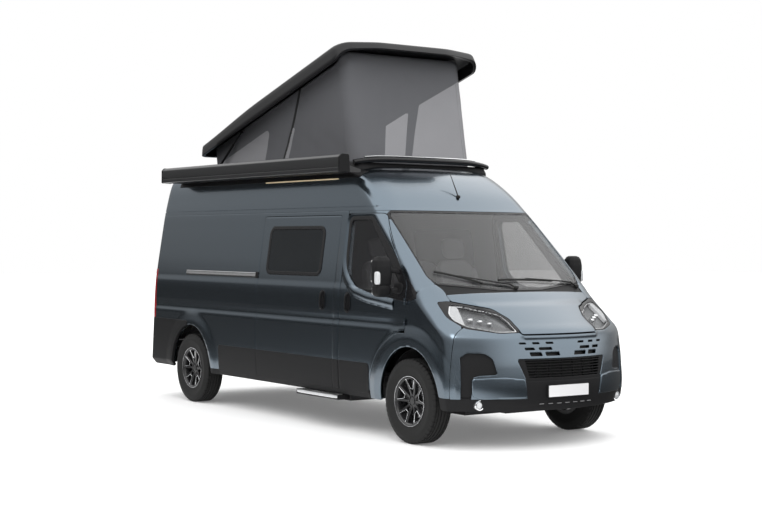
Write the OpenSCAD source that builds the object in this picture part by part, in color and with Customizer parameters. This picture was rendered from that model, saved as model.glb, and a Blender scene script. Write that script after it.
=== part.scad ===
// Camper van with a rear-hinged pop-up roof, a side awning and an entrance step.
// Millimetres. +X is the front, +Y the left side, +Z up, origin on the ground under the middle.

/* [Overall] */
// Length over the bumpers
length = 5998; // [5600:2:6400]
// Width over the wheel arch flares
width = 2050; // [2000:2:2120]
// Nose to front axle
front_overhang = 948; // [920:2:980]
// Rear axle to tail
rear_overhang = 1015; // [960:5:1060]
// Height of the steel roof
roof_height = 2505; // [2450:5:2600]
// How far the arch flares stand out from the side
flare_out = 20; // [12:1:28]

/* [Panels] */
// Thickness of the body walls and doors
wall = 50; // [40:1:60]
// Gap round a part that opens
gap = 7; // [6.5:0.5:9]
// Joint between two fixed panels
seam = 0.4; // [0.2:0.1:0.8]
// Thickness of the window panes
glass_t = 6; // [4:1:10]
// Height of the rib between side wall and roof panel, as a share of the way from waist to roof
rib_share = 0.602; // [0.57:0.002:0.63]
// Lower edge of the side walls and doors
sill_z = 345; // [320:5:370]
// Height of the floor's upper face
floor_z = 545; // [520:5:580]

/* [Wheels] */
// Radius of the tyre
tyre_r = 372; // [360:1:378]
// Width of the tyre
tyre_w = 225; // [205:5:235]
// Radius of the rim's outer flange
rim_r = 222; // [210:1:230]
// Distance of the middle of a tyre inboard of the body's side
tyre_in = 100; // [90:1:115]
// Spokes of a rim, in pairs
spoke_pairs = 5; // [4:1:7]
// Radius of the wheel arch opening
arch_r = 432; // [428:1:440]
// Radius of the flare's outer edge at the rear and at the front
flare_r = 590; // [570:5:620]
// Distance of the steering axis inboard of the middle of the tyre
kingpin_in = 45; // [30:1:60]
// Radius of the stub axles
stub_r = 32; // [25:1:38]

/* [Doors] */
// Nose to the front door's front edge
cab_door_setback = 1009; // [1000:1:1020]
// Length of the front door
cab_door_l = 1055; // [1030:5:1080]
// Width of the pillar between front door and sliding door
pillar_w = 110; // [90:5:130]
// Length of the sliding door, as a share of the way from its front edge to the rear axle
slide_share = 0.5037; // [0.48:0.0005:0.53]
// Width of the corner posts beside the rear doors
rear_post_w = 137; // [125:2:155]
// Upper edge of the rear bumper, where the rear doors start
rear_sill_z = 620; // [600:5:660]
// How far a hinge axis stands out from the skin
hinge_out = 8; // [6:1:12]

/* [Pop-up roof] */
// Angle at which the roof shell stands open
lift_deg = 16.5; // [14:0.5:19]
// Tail to the hinge axis of the roof shell
lift_in = 379; // [340:1:420]
// Height of the hinge axis over the steel roof
lift_up = 25; // [25:1:40]
// Hinge axis to the rear edge of the roof shell
shell_arm = 555; // [500:5:600]
// Nose to the front edge of the roof shell, closed
shell_setback = 2099; // [2070:1:2140]
// Margin of the roof beside the roof shell
shell_margin = 145; // [135:1:155]
// Height of the roof shell's side
shell_h = 135; // [110:1:150]
// Thickness of the roof shell
shell_t = 28; // [20:1:36]
// Distance of the tent inboard of the shell's edge
tent_in = 140; // [125:1:170]
// Thickness of the tent cloth's solid
tent_t = 8; // [5:1:14]

/* [Awning] */
// Nose to the front end of the awning case
awning_setback = 1869; // [1700:1:2000]
// Tail to the rear end of the awning case
awning_tail = 439; // [400:1:600]
// Height of the awning case
awning_h = 150; // [120:1:170]
// Depth of the awning case
awning_deep = 115; // [100:1:160]
// How far the awning case stands out from the side
awning_proud = 65; // [40:1:85]
// Lower face of the awning case below the roof
awning_drop = 105; // [90:1:125]

/* [Entrance step] */
// Length of the tread
step_l = 730; // [600:5:800]
// Rear end of the tread behind the sliding door's front edge
step_back = 590; // [540:5:640]
// How far the tread is out
step_out = 240; // [200:5:260]
// Depth of the tread
step_d = 280; // [250:5:320]
// Thickness of the tread
step_t = 46; // [36:1:56]
// Height of the tread's lower face
step_z = 288; // [280:1:290]

/* [Hidden] */
$fn = 48;
nose_x = length/2;
tail_x = -length/2;
front_axle = nose_x - front_overhang;
rear_axle = tail_x + rear_overhang;
half_body = width/2 - flare_out;
wheel_y = half_body - tyre_in;
cab_door_front = nose_x - cab_door_setback;
cab_door_rear = cab_door_front - cab_door_l;
slide_front = cab_door_rear - pillar_w;
slide_rear = slide_front - slide_share*(slide_front - rear_axle);
rear_door_half = half_body - rear_post_w;
lift_x = tail_x + lift_in;
shell_rear = lift_x + shell_arm;
shell_front = nose_x - shell_setback;
shell_half = half_body - shell_margin;
tent_half = shell_half - tent_in;
awning_rear = tail_x + awning_tail;
awning_l = nose_x - awning_setback - awning_rear;
awning_out = half_body + awning_proud;
awning_z = roof_height - awning_drop;
step_rear = slide_front - step_back;
// Heights above the waist are shares of the way from there to the roof
waist_z = 1350;
function up(share) = waist_z + share*(roof_height - waist_z);
rib_z = up(rib_share);
// Widths in front view are given for a half width of 1005 and follow the body's
across = half_body/1005;
function wide(points) = [for (p = points) [p[0]*across, p[1], len(p) > 2 ? p[2] : 0]];
axles = [front_axle, rear_axle];
sides = [-1, 1];
liner_t = 10;
liner_r = arch_r + 16;
liner_in = wheel_y - 345;

// Body sections below the waist. Columns: height, tuck of the side, setback of the front,
// radius of the front in plan, corner radius in plan, setback of the tail.
lower_rows = [
    [ 290, 40,   48, 1500, 120, 70],
    [ 420, 16,   10, 1500, 125, 62],
    [ 540,  6,    0, 1500, 130, 56],
    [ 700,  0,    8, 1500, 135, 52],
    [ 860,  0,   30, 1500, 150, 50],
    [ 950,  0,   52, 1520, 170, 50],
    [1000,  1,   95, 1580, 195, 50],
    [1060,  3,  190, 1700, 222, 50],
    [1140,  7,  315, 1900, 245, 50],
    [1220, 12,  440, 2150, 255, 50],
    [1300, 18,  560, 2500, 235, 50]];
// Body sections above it. The first column is a share of the way from waist to roof.
upper_rows = [
    [0,      23,  638, 2900, 200,  50],
    [0.1299, 42,  804, 3200, 180,  52],
    [0.303,  70, 1027, 3400, 175,  58],
    [0.4762, 98, 1250, 3700, 180,  66],
    [0.6061, 119, 1418, 4000, 200,  75],
    [0.7403, 146, 1582, 4000, 240,  90],
    [0.8398, 168, 1738, 4000, 270, 105],
    [0.9091, 190, 1872, 4000, 290, 118],
    [0.9481, 212, 1978, 4000, 300, 130],
    [0.9784, 250, 2098, 4000, 300, 150],
    [0.9939, 305, 2214, 4000, 290, 180],
    [1,      385, 2334, 4000, 260, 230]];
sections = concat(lower_rows,
    [for (r = upper_rows) [up(r[0]), r[1], r[2], r[3], r[4], r[5]]]);
TUCK = 1;
SETBACK = 2;
BOW = 3;
CORNER = 4;
TAIL = 5;
heights = [for (s = sections) s[0]];
top_z = heights[len(heights) - 1];
function at(z, column) = lookup(z, [for (s = sections) [s[0], s[column]]]);

// Plan outline of the body at height z, drawn in by inset. Slopes are drawn in by looking higher up.
function outline(z, inset) =
    let (h = min(z + 0.8*inset, top_z),
         w = half_body - at(h, TUCK) - inset,
         front = nose_x - at(h, SETBACK) - 0.5*inset,
         bow = at(h, BOW)*across*across,
         corner = max(at(h, CORNER) - inset, 30),
         rear = tail_x + at(h, TAIL) + inset,
         rear_corner = max(70 - inset, 20),
         turn = asin((w - corner)/(bow - corner)),
         corner_x = front - bow + (bow - corner)*cos(turn),
         half = concat(
            [for (i = [0:4]) let (a = turn*i/5) [front - bow + bow*cos(a), bow*sin(a)]],
            [for (i = [0:5]) let (a = turn + (90 - turn)*i/5)
                [corner_x + corner*cos(a), w - corner + corner*sin(a)]],
            [for (i = [0:3]) let (a = 90 + 90*i/3)
                [rear + rear_corner + rear_corner*cos(a), w - rear_corner + rear_corner*sin(a)]]))
    concat(half, [for (i = [len(half) - 1:-1:1]) [half[i][0], -half[i][1]]]);

// Half width and front of the body at a height, for pieces that seat against it.
function side_y(z, inset = 0) = half_body - at(min(z + 0.8*inset, top_z), TUCK) - inset;
function front_x(z, inset = 0) = nose_x - at(min(z + 0.8*inset, top_z), SETBACK) - 0.5*inset;

// A solid through rings of as many points each, from the lowest ring to the highest.
module loft(rings) {
    n = len(rings[0]);
    top = len(rings) - 1;
    hull() polyhedron(
        points = [for (r = rings) each r],
        faces = concat([[for (i = [0:n - 1]) i]], [[for (i = [n - 1:-1:0]) top*n + i]],
            [for (k = [0:top - 1], i = [0:n - 1])
                [k*n + i, (k + 1)*n + i, (k + 1)*n + (i + 1)%n, k*n + (i + 1)%n]]));
}
function raised(points, z) = [for (p = points) [p[0], p[1], z]];

// The body's outer form, drawn in by inset, as a stack of layers from section to section.
module form(inset) {
    rows = [for (z = heights) if (z <= top_z - inset - 0.1) z];
    levels = concat(rows, [top_z - inset]);
    for (i = [0:len(levels) - 2])
        loft([for (z = [levels[i], levels[i + 1]]) raised(outline(z, inset), z)]);
}

// A layer of the body between two depths below its skin.
module skin(outer = 0, inner = wall)
    difference() {
        form(outer);
        translate([0, 0, -1]) form(inner);
        translate([0, 0, -1]) linear_extrude(heights[0] + 3)
            polygon(outline(heights[0], inner));
    }

// Prisms along Y, X and Z from outlines in side, front and plan view.
module along_y(points, y0, y1)
    translate([0, y1, 0]) rotate([90, 0, 0]) linear_extrude(y1 - y0) polygon(points);
module along_x(points, x0, x1)
    translate([x0, 0, 0]) rotate([90, 0, 90]) linear_extrude(x1 - x0) polygon(points);
module box(low, high) translate(low) cube(high - low);

module mirrored() {
    children();
    mirror([0, 1, 0]) children();
}

// Closed outline with each corner turned by an arc. Points are [x, y, radius].
function rounded(points) =
    let (n = len(points))
    [for (i = [0:n - 1])
        let (p = points[i],
             a = points[(i + n - 1)%n],
             b = points[(i + 1)%n],
             u = [a[0] - p[0], a[1] - p[1]]/norm([a[0] - p[0], a[1] - p[1]]),
             v = [b[0] - p[0], b[1] - p[1]]/norm([b[0] - p[0], b[1] - p[1]]),
             half = acos(max(-1, min(1, u*v)))/2,
             centre = [p[0], p[1]] + (u + v)/norm(u + v)*p[2]/sin(half),
             from = [p[0], p[1]] + u*p[2]/tan(half) - centre,
             to = [p[0], p[1]] + v*p[2]/tan(half) - centre,
             start = atan2(from[1], from[0]),
             sweep = (atan2(to[1], to[0]) - start + 540)%360 - 180)
        each p[2] == 0 ? [[p[0], p[1]]] :
            [for (k = [0:4]) centre + p[2]*[cos(start + sweep*k/4), sin(start + sweep*k/4)]]];

// Outline drawn in by d towards its middle point, for the gap round a door or a pane.
function shrunk(points, d) =
    let (n = len(points),
         area = [for (i = [0:n - 1])
            points[i][0]*points[(i + 1)%n][1] - points[(i + 1)%n][0]*points[i][1]],
         turn = sign(area*[for (i = area) 1]))
    [for (i = [0:n - 1])
        let (p = points[i],
             a = points[(i + n - 1)%n],
             b = points[(i + 1)%n],
             e = turn*[a[1] - p[1], p[0] - a[0]]/norm([p[0] - a[0], p[1] - a[1]]),
             f = turn*[p[1] - b[1], b[0] - p[0]]/norm([b[0] - p[0], b[1] - p[1]]))
        [p[0], p[1]] + d*(e + f)/(1 + e*f)];

// Side view outlines of the doors and windows, as [x, z].
door_top = rib_z - 25;
pillar_top = front_x(door_top) - 125;
pillar_low = cab_door_front - 8;
belt_z = 1375;
cab_door = concat(
    rounded([[cab_door_rear, sill_z + 55, 30], [cab_door_rear, door_top, 60],
        [pillar_top, door_top, 90], [pillar_low, belt_z + 20, 60], [cab_door_front, 1200, 0]]),
    [for (a = [96:13:174]) [front_axle, tyre_r] + (flare_r + 30)*[cos(a), sin(a)]],
    [[front_axle - flare_r - 20, sill_z + 55]]);
cab_window = rounded([[cab_door_rear + 95, belt_z + 20, 170], [cab_door_rear + 80, door_top - 50, 60],
    [pillar_top - 40, door_top - 50, 90], [pillar_low - 60, belt_z - 62, 40],
    [cab_door_rear + 330, belt_z - 75, 60]]);
slide_door = rounded([[slide_rear, sill_z + 30, 25], [slide_rear, rib_z - 40, 25],
    [slide_front, rib_z - 40, 25], [slide_front, sill_z + 30, 25]]);
window_low = up(0.0779);
window_top = up(0.4719);
slide_window = rounded([[slide_rear + 150, window_low, 70], [slide_rear + 150, window_top, 70],
    [slide_front - 265, window_top, 70], [slide_front - 265, window_low, 70]]);

// Front view outlines, as [y, z], for the right half or across the middle.
screen_low = up(0.0563);
screen_top = up(0.5714);
screen = rounded(wide([[-850, screen_low, 90], [-800, screen_top, 70], [800, screen_top, 70],
    [850, screen_low, 90], [0, waist_z + 12, 600]]));
cowl_z = 1335;
bonnet_low = 985;
lamp = rounded(wide([[434, 996, 8], [430, 1104, 50], [507, 1186, 70], [825, 1256, 30], [905, 1260, 4],
    [915, 1116, 60], [840, 1030, 60], [600, 990, 200]]));
bonnet_front = wide([[425, bonnet_low], [421, 1105], [500, 1192], [840, 1264], [905, 1267],
    [895, cowl_z - 30], [700, cowl_z - 8], [350, cowl_z]]);
bonnet_outline = concat([for (p = bonnet_front) [p[0], p[1]]],
    [for (i = [len(bonnet_front) - 1:-1:0]) [-bonnet_front[i][0], bonnet_front[i][1]]]);
grille_top = 765;
grille_low = 585;
grille = rounded(wide([[-500, grille_top, 20], [500, grille_top, 20],
    [420, grille_low, 20], [-420, grille_low, 20]]));
air_vent = rounded(wide([[660, 655, 25], [690, 820, 60], [860, 830, 40], [835, 640, 25]]));
rear_door = rounded([[0.7*gap, rear_sill_z, 12], [0.7*gap, rib_z - 10, 12],
    [rear_door_half - 75, rib_z - 10, 60], [rear_door_half, up(0.1299), 200],
    [rear_door_half, rear_sill_z, 12]]);
rear_glass_low = up(0.0606);
rear_glass_top = up(0.4416);
rear_window = rounded([[130, rear_glass_low, 50], [130, rear_glass_top, 50],
    [rear_door_half - 208, rear_glass_top, 50], [rear_door_half - 178, rear_glass_low, 50]]);
// Rear ends of the bumper, the lamps and the cuts through the front
bumper_x = nose_x - 384;
lamp_rear = nose_x - 720;
front_cut = nose_x - 599;
screen_cut = nose_x - 1799;

// Wheel arch holes and the flares round them.
module arch_hole(x, r, y0, y1)
    translate([x, 0, tyre_r]) rotate([90, 0, 0]) mirrored_z()
        translate([0, 0, y0]) cylinder(r = r, h = y1 - y0, $fn = 64);
module mirrored_z() {
    children();
    mirror([0, 0, 1]) children();
}
module flare(x, s, r)
    intersection() {
        difference() {
            translate([x, 0, tyre_r]) rotate([-90*s, 0, 0]) union() {
                translate([0, 0, liner_y + seam])
                    cylinder(r = liner_r + liner_t, h = half_body - liner_y, $fn = 64);
                translate([0, 0, half_body - 25])
                    cylinder(r1 = r, r2 = r - 3*flare_out, h = 25 + flare_out, $fn = 64);
            }
            translate([x, 0, tyre_r]) rotate([90, 0, 0])
                cylinder(r = arch_r, h = 3*width, center = true, $fn = 64);
        }
        box([x - 700, -width, sill_z - 10], [x + 700, width, 1200]);
    }
liner_y = side_y(sill_z) - wall - 25;

module side_region(x0, x1, z0, z1, s)
    box([x0, min(0, s*width), z0], [x1, max(0, s*width), z1]);

// Side walls behind the cab doors, with the sills
module side_wall(s)
    difference() {
        union() {
            intersection() {
                skin();
                union() {
                    side_region(tail_x, cab_door_rear - gap, sill_z, rib_z - seam, s);
                    side_region(cab_door_rear - 200, front_axle - flare_r - 22,
                        sill_z, sill_z + 55 - gap, s);
                }
            }
            flare(rear_axle, s, flare_r);
        }
        rear_opening();
        arch_hole(rear_axle, arch_r, 0, width);
        tail_lamp_room();
    }
module rear_opening() mirrored()
    along_x(shrunk(rear_door, -gap), tail_x - 10, tail_x + 300);
module tail_lamp_room(grow = seam) mirrored()
    along_x(shrunk(tail_lamp, -grow), tail_x - 10, tail_x + 200);
corner_y = rear_door_half + 17;
tail_lamp = rounded([[corner_y, 890, 20], [corner_y, 1440, 20], [half_body + 95, 1440, 20],
    [half_body + 95, 890, 20]]);

module side_wall_right()
    color("slategray") {
        difference() {
            side_wall(-1);
            along_y(shrunk(slide_door, -gap/2), -width, 0);
        }
        rear_hinges(-1, true);
    }
module side_wall_left()
    color("slategray") {
        difference() {
            side_wall(1);
            along_y(slide_window, 0, width);
        }
        rear_hinges(1, true);
    }
// Door leaf, as thick as the wall
module leaf(points, s)
    intersection() {
        skin();
        along_y(shrunk(points, gap/2), min(0, s*width), max(0, s*width));
    }
// The sliding door stands on its guides
guide_x = [slide_rear + 60, slide_front - 120];
module sliding_door()
    color("slategray") {
        difference() {
            leaf(slide_door, -1);
            along_y(slide_window, -width, 0);
        }
        for (x = guide_x)
            box([x, -side_y(sill_z + 40) + 4, sill_z + 30 - gap/2 + seam],
                [x + 60, -side_y(sill_z + 40) + 20, sill_z + 40]);
    }
module side_windows()
    color("dimgray", 0.7) mirrored() intersection() {
        skin(2, 2 + glass_t);
        along_y(shrunk(slide_window, seam), 0, width);
    }

// Cab doors
module cab_door_leaf(s)
    color("slategray") {
        difference() {
            leaf(cab_door, s);
            along_y(cab_window, min(0, s*width), max(0, s*width));
        }
        cab_hinges(s, false);
    }
module cab_door_glass(s)
    color("dimgray", 0.5) intersection() {
        skin(6, 6 + glass_t);
        along_y(shrunk(cab_window, seam), min(0, s*width), max(0, s*width));
    }
module cab_door_right() cab_door_leaf(-1);
module cab_door_left() cab_door_leaf(1);
module cab_glass_right() cab_door_glass(-1);
module cab_glass_left() cab_door_glass(1);

// Door mirror: a tall head on two arms
mirror_x = nose_x - 1199;
mirror_z = 1470;
mirror_y = side_y(1420) + 25;
module door_mirror(s)
    color([0.09, 0.09, 0.1]) translate([mirror_x, 0, mirror_z]) scale([1, s, 1]) difference() {
        union() {
            hull() for (x = [-70, 40], y = [mirror_y + 45, mirror_y + 205], z = [-165, 150])
                translate([x, y, z]) sphere(r = 35, $fn = 20);
            for (z = [-120, 20]) hull() {
                translate([-10, mirror_y + 60, z]) sphere(r = 24, $fn = 16);
                translate([60, side_y(mirror_z + z) - 8, z - 20]) sphere(r = 24, $fn = 16);
            }
        }
        translate([-mirror_x, 0, -mirror_z]) form(-seam);
        box([-130, mirror_y + 35, -165], [-88, mirror_y + 215, 155]);
    }
module mirror_right() door_mirror(-1);
module mirror_left() door_mirror(1);

// Hinge knuckles: one on the part that moves, one above it on the part that stays
cab_hinge_z = [1030, 1210];
rear_hinge_z = [760, 1390];
cab_hinge_y = side_y(800) + hinge_out;
rear_hinge_x = tail_x + at(1000, TAIL) - hinge_out;
rear_hinge_y = rear_door_half + gap/2;
bonnet_hinge = [nose_x - 729, 850*across, 1296];
knuckle_r = 7;
hinge_pin_r = 3;
pin_bore = hinge_pin_r + 0.3;
module cab_hinges(s, fixed)
    for (z = cab_hinge_z)
        translate([cab_door_front, s*cab_hinge_y, z + (fixed ? 30 + seam : 0)]) bored_hinge()
            box([fixed ? 0 : -24, s > 0 ? -hinge_out - 22 : 0, 0],
                [fixed ? 24 : 0, s > 0 ? 0 : hinge_out + 22, 30]);
module rear_hinges(s, fixed)
    for (z = rear_hinge_z)
        translate([rear_hinge_x, s*rear_hinge_y, z + (fixed ? 30 + seam : 0)]) bored_hinge()
            box([0, min(0, s*(fixed ? 9 : -60)), 0], [hinge_out + 20, max(0, s*(fixed ? 9 : -60)), 30]);
module bored_hinge()
    difference() {
        union() {
            cylinder(r = knuckle_r, h = 30, $fn = 24);
            children();
        }
        translate([0, 0, -1]) cylinder(r = pin_bore, h = 32, $fn = 24);
    }
// Pins through the knuckles of doors and bonnet
module hinge_pins()
    color("gray") mirrored() {
        for (z = cab_hinge_z)
            translate([cab_door_front, cab_hinge_y, z + 1]) cylinder(r = hinge_pin_r, h = 58);
        for (z = rear_hinge_z)
            translate([rear_hinge_x, rear_hinge_y, z + 1]) cylinder(r = hinge_pin_r, h = 58);
        translate(bonnet_hinge + [0, 1, 0]) rotate([-90, 0, 0]) cylinder(r = hinge_pin_r, h = 31);
    }

// Rear doors
module rear_door_leaf(s)
    difference() {
        intersection() {
            skin();
            scale([1, s, 1]) along_x(rear_door, tail_x - 10, tail_x + 300);
        }
        scale([1, s, 1]) along_x(rear_window, tail_x - 10, tail_x + 300);
    }
module rear_door_body(s)
    color("slategray") {
        rear_door_leaf(s);
        rear_hinges(s, false);
    }
module rear_door_glass(s)
    color("dimgray", 0.7) intersection() {
        skin(4, 4 + glass_t);
        scale([1, s, 1]) along_x(shrunk(rear_window, seam), tail_x - 10, tail_x + 300);
    }
module rear_door_right() rear_door_body(-1);
module rear_door_left() rear_door_body(1);
module rear_glass_right() rear_door_glass(-1);
module rear_glass_left() rear_door_glass(1);

// Roof panel with the hatch under the pop-up roof
hatch_rear = shell_rear + 315;
hatch_front = shell_front - 470;
hatch_half = shell_half - 300;
hatch = rounded([[hatch_rear, -hatch_half, 90], [hatch_front, -hatch_half, 90],
    [hatch_front, hatch_half, 90], [hatch_rear, hatch_half, 90]]);
module roof_panel()
    color("slategray") difference() {
        intersection() {
            skin();
            box([-length, -width, rib_z], [length, width, roof_height + 10]);
        }
        translate([0, 0, roof_height - 200]) linear_extrude(300) polygon(hatch);
    }

// Windscreen frame with pillars, cowl and bulkhead
module cab_frame()
    color("slategray") {
        difference() {
            intersection() {
                skin();
                box([cab_door_rear, -width, wing_top_z + seam], [length, width, rib_z - seam]);
            }
            for (s = sides) along_y(shrunk(cab_door, -gap/2), min(0, s*width), max(0, s*width));
            along_x(screen, screen_cut, length);
            bonnet_room();
        }
        difference() {
            box([bulkhead_x, 95 - half_body, floor_z + seam], [cab_door_front, half_body - 95, cowl_z]);
            arch_hole(front_axle, liner_r + liner_t + 5, liner_in - 20, width);
        }
    }
module windscreen()
    color("dimgray", 0.4) intersection() {
        skin(4, 4 + glass_t);
        along_x(shrunk(screen, seam), screen_cut, length);
    }

// Front wings
wing_top_z = 1300;
module wing_region(grow = 0)
    mirrored() along_y([[cab_door_front + gap/2 - 2*gap*sign(grow), 300],
        [cab_door_front + gap/2 - 2*gap*sign(grow), wing_top_z + grow],
        [nose_x - 669, wing_top_z + grow], [bumper_x, 1050], [bumper_x, 300]], 600*across, width);
module front_wings()
    color("slategray") mirrored() {
        wing();
        cab_hinges(1, true);
    }
module bonnet_hinge()
    translate(bonnet_hinge) difference() {
        union() {
            rotate([-90, 0, 0]) cylinder(r = knuckle_r, h = 16, $fn = 24);
            box([0, 0, -12], [32, 13, -2]);
        }
        rotate([-90, 0, 0]) translate([0, 0, -1]) cylinder(r = pin_bore, h = 20, $fn = 24);
    }
module wing()
    difference() {
        union() {
            intersection() {
                skin();
                wing_region();
                box([cab_door_front, 860*across, 420], [bumper_x - seam, width, wing_top_z]);
            }
            intersection() {
                flare(front_axle, 1, flare_r + 20);
                box([cab_door_front + gap/2, 0, 420], [bumper_x - seam, width, 1200]);
            }
            intersection() {
                flare(front_axle, 1, flare_r + 20);
                box([0, 0, sill_z], [cab_door_front + gap, width, 960]);
            }
        }
        along_y(shrunk(cab_door, -gap/2), 0, width);
        bonnet_room();
        along_x(shrunk(lamp, -seam), lamp_rear - seam, length);
        arch_hole(front_axle, arch_r, 0, width);
        translate(bonnet_hinge) rotate([-90, 0, 0]) cylinder(r = pin_bore, h = 33, $fn = 24);
    }

// Bonnet. Its rear edge is cut upright along an arc in plan, so that it rises clear of the windscreen.
bonnet_rear = nose_x - 594;
bonnet_arc = 3300*across*across;
module bonnet_plan(grow)
    linear_extrude(wing_top_z + 100) polygon(concat(
        [for (i = [-7:7]) let (y = i*width/14)
            [bonnet_rear - grow - bonnet_arc + sqrt(bonnet_arc*bonnet_arc - y*y), y]],
        [[length, width/2], [length, -width/2]]));
module bonnet_room() {
    intersection() {
        along_x(shrunk(bonnet_outline, -gap), cab_door_front, length);
        bonnet_plan(gap);
    }
    mirrored() translate(bonnet_hinge - [0, 10, 0]) rotate([-90, 0, 0])
        cylinder(r = 21, h = 26 + seam, $fn = 24);
}
module bonnet()
    color("slategray") {
        intersection() {
            skin(0, 30);
            along_x(bonnet_outline, cab_door_front + 70, length);
            bonnet_plan(0);
        }
        mirrored() bonnet_hinge();
    }

// Headlamps fill their openings between bonnet, wing and bumper
module headlamps()
    color("gainsboro", 0.6) mirrored() difference() {
        intersection() {
            skin(2, 120);
            along_x(lamp, lamp_rear, length);
        }
        along_x(shrunk(bonnet_outline, -gap), cab_door_front, length);
        arch_hole(front_axle, liner_r + liner_t + 4, 0, width);
    }

// Front bumper with the grille opening, side vents and a lower lip
slot_rows = [[905, [[180, 260], [290, 365], [385, 450]]], [858, [[170, 330], [350, 430]]],
    [811, [[60, 240], [260, 400]]]];
module front_bumper()
    color("slategray") difference() {
        intersection() {
            skin(0, wall);
            box([bumper_x, -width, sill_z - 15], [length, width, 1060]);
        }
        along_x(shrunk(bonnet_outline, -gap), cab_door_front, length);
        mirrored() along_x(shrunk(lamp, -seam), lamp_rear - seam, length);
        along_x(grille, front_cut, length);
        mirrored() for (row = slot_rows, s = across*row[1])
            along_x([[s[0], row[0] - 17], [s[1] - 12, row[0] - 17], [s[1], row[0] + 17],
                [s[0] + 12, row[0] + 17]], front_cut, length);
        mirrored() intersection() {
            along_x(air_vent, front_cut, length);
            difference() {
                form(-10);
                form(30);
            }
        }
    }
// Grille: slats and uprights in one piece
slat_n = 6;
module grille_slats()
    color([0.07, 0.07, 0.08]) intersection() {
        skin(12, 40);
        along_x(shrunk(grille, seam), front_cut, length);
        union() {
            for (i = [0:slat_n - 1])
                let (z = grille_low + (grille_top - grille_low)*(i + 0.5)/slat_n)
                box([front_cut, -width, z - 8], [length, width, z + 8]);
            for (i = [-4:4])
                box([front_cut, 110*across*i - 5, 0], [length, 110*across*i + 5, roof_height]);
        }
    }

// Tail lamps fill the rear corners
module tail_lamps()
    color("firebrick") mirrored() intersection() {
        skin(-3, wall - 8);
        along_x(tail_lamp, tail_x - 10, tail_x + 190);
    }

// Rear bumper with its corner pieces
module rear_bumper()
    color([0.1, 0.1, 0.11]) difference() {
        intersection() {
            difference() {
                form_rear();
                form(-seam);
            }
            box([tail_x - 5, -width, 360], [rear_axle - flare_r + 60, width, 885]);
        }
        along_x([[-corner_y, rear_sill_z - gap], [-corner_y, 900], [corner_y, 900],
            [corner_y, rear_sill_z - gap]], tail_x - 10, tail_x + 400);
        translate([rear_axle, 0, tyre_r]) rotate([90, 0, 0])
            cylinder(r = flare_r + 12, h = 3*width, center = true, $fn = 64);
    }
// Columns: height, setback of the tail, tuck of the side
bumper_rows = [[360, 25, 40], [420, 0, 0], [885, 38, 0]];
module form_rear()
    for (i = [0, 1])
        loft([for (r = [bumper_rows[i], bumper_rows[i + 1]]) raised(rounded([
            [tail_x + r[1], -half_body - 8 + r[2], 90], [rear_axle + 484, -half_body - 8 + r[2], 0],
            [rear_axle + 484, half_body + 8 - r[2], 0],
            [tail_x + r[1], half_body + 8 - r[2], 90]]), r[0])]);

// Black lower mouldings on the sliding door and the walls
cladding = [[rear_axle + flare_r + 30, slide_rear - gap, -1], [slide_rear + gap, slide_front - gap, -1],
    [rear_axle + flare_r + 30, cab_door_rear - gap, 1]];
module side_cladding()
    color([0.1, 0.1, 0.11]) for (c = cladding)
        intersection() {
            skin(-9, -seam);
            along_y([[c[0], 420], [c[0], 645], [c[1], 645], [c[1], 420]],
                min(0, c[2]*width), max(0, c[2]*width));
        }

// Wheel arch liners
module arch_liners()
    color([0.06, 0.06, 0.06]) for (x = axles) mirrored()
        intersection() {
            translate([x, 0, tyre_r]) rotate([-90, 0, 0]) difference() {
                translate([0, 0, liner_in - liner_t])
                    cylinder(r = liner_r + liner_t, h = liner_y - liner_in + liner_t, $fn = 64);
                translate([0, 0, liner_in]) cylinder(r = liner_r, h = width, $fn = 64);
                cylinder(r = 80, h = width);
            }
            box([x - 700, 0, tyre_r - 20], [x + 700, width, 1100]);
        }

// Floor with side rails, cross members and the step's housing
rail_y = liner_in - 130;
rail_w = 80;
rail_low = 400;
// Cross members: one behind the rear axle and five between the axles
cross_rear = rear_axle + 634;
cross_step = (front_axle - 651 - cross_rear)/4;
jack_x = [front_axle - 751, rear_axle + 984];
cross_x = concat([tail_x + 399], [for (i = [0:4]) cross_rear + i*cross_step]);
module floor_frame()
    color([0.13, 0.13, 0.14]) difference() {
        union() {
            intersection() {
                form(wall + seam);
                union() {
                    box([tail_x + 110, -width, floor_z - 45], [cab_door_front - 430, width, floor_z]);
                    box([cab_door_front - 490, -liner_in + liner_t + 5, floor_z - 45],
                        [front_axle - 65, liner_in - liner_t - 5, floor_z]);
                }
            }
            mirrored()
                box([tail_x + 140, rail_y, rail_low], [front_axle - 65, rail_y + rail_w, floor_z - 44]);
            for (x = cross_x)
                box([x, -rail_y - 10, rail_low + 20], [x + 70, rail_y + 10, floor_z - 44]);
            step_housing();
            mirrored() for (x = jack_x)
                box([x - 30, rail_y + 10, rail_low - 12], [x + 30, rail_y + 70, rail_low + 1]);
        }
        translate([rear_axle, 0, tyre_r]) rotate([90, 0, 0]) cylinder(r = 75, h = 2*width, center = true);
        mirrored() arch_hole(rear_axle, liner_r + liner_t + 5, liner_in - liner_t - 5, width);
        mirrored() arch_hole(front_axle, liner_r + liner_t + 5, liner_in - liner_t - 5, width);
    }
step_y = -side_y(step_z) - 60;
module step_housing()
    difference() {
        box([step_rear - 30, -liner_y, step_z - 12],
            [step_rear + step_l + 30, -rail_y + 40, floor_z - 44]);
        box([step_rear - gap, -width, step_z - gap],
            [step_rear + step_l + gap, -rail_y + 20, step_z + step_t + gap]);
    }
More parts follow.
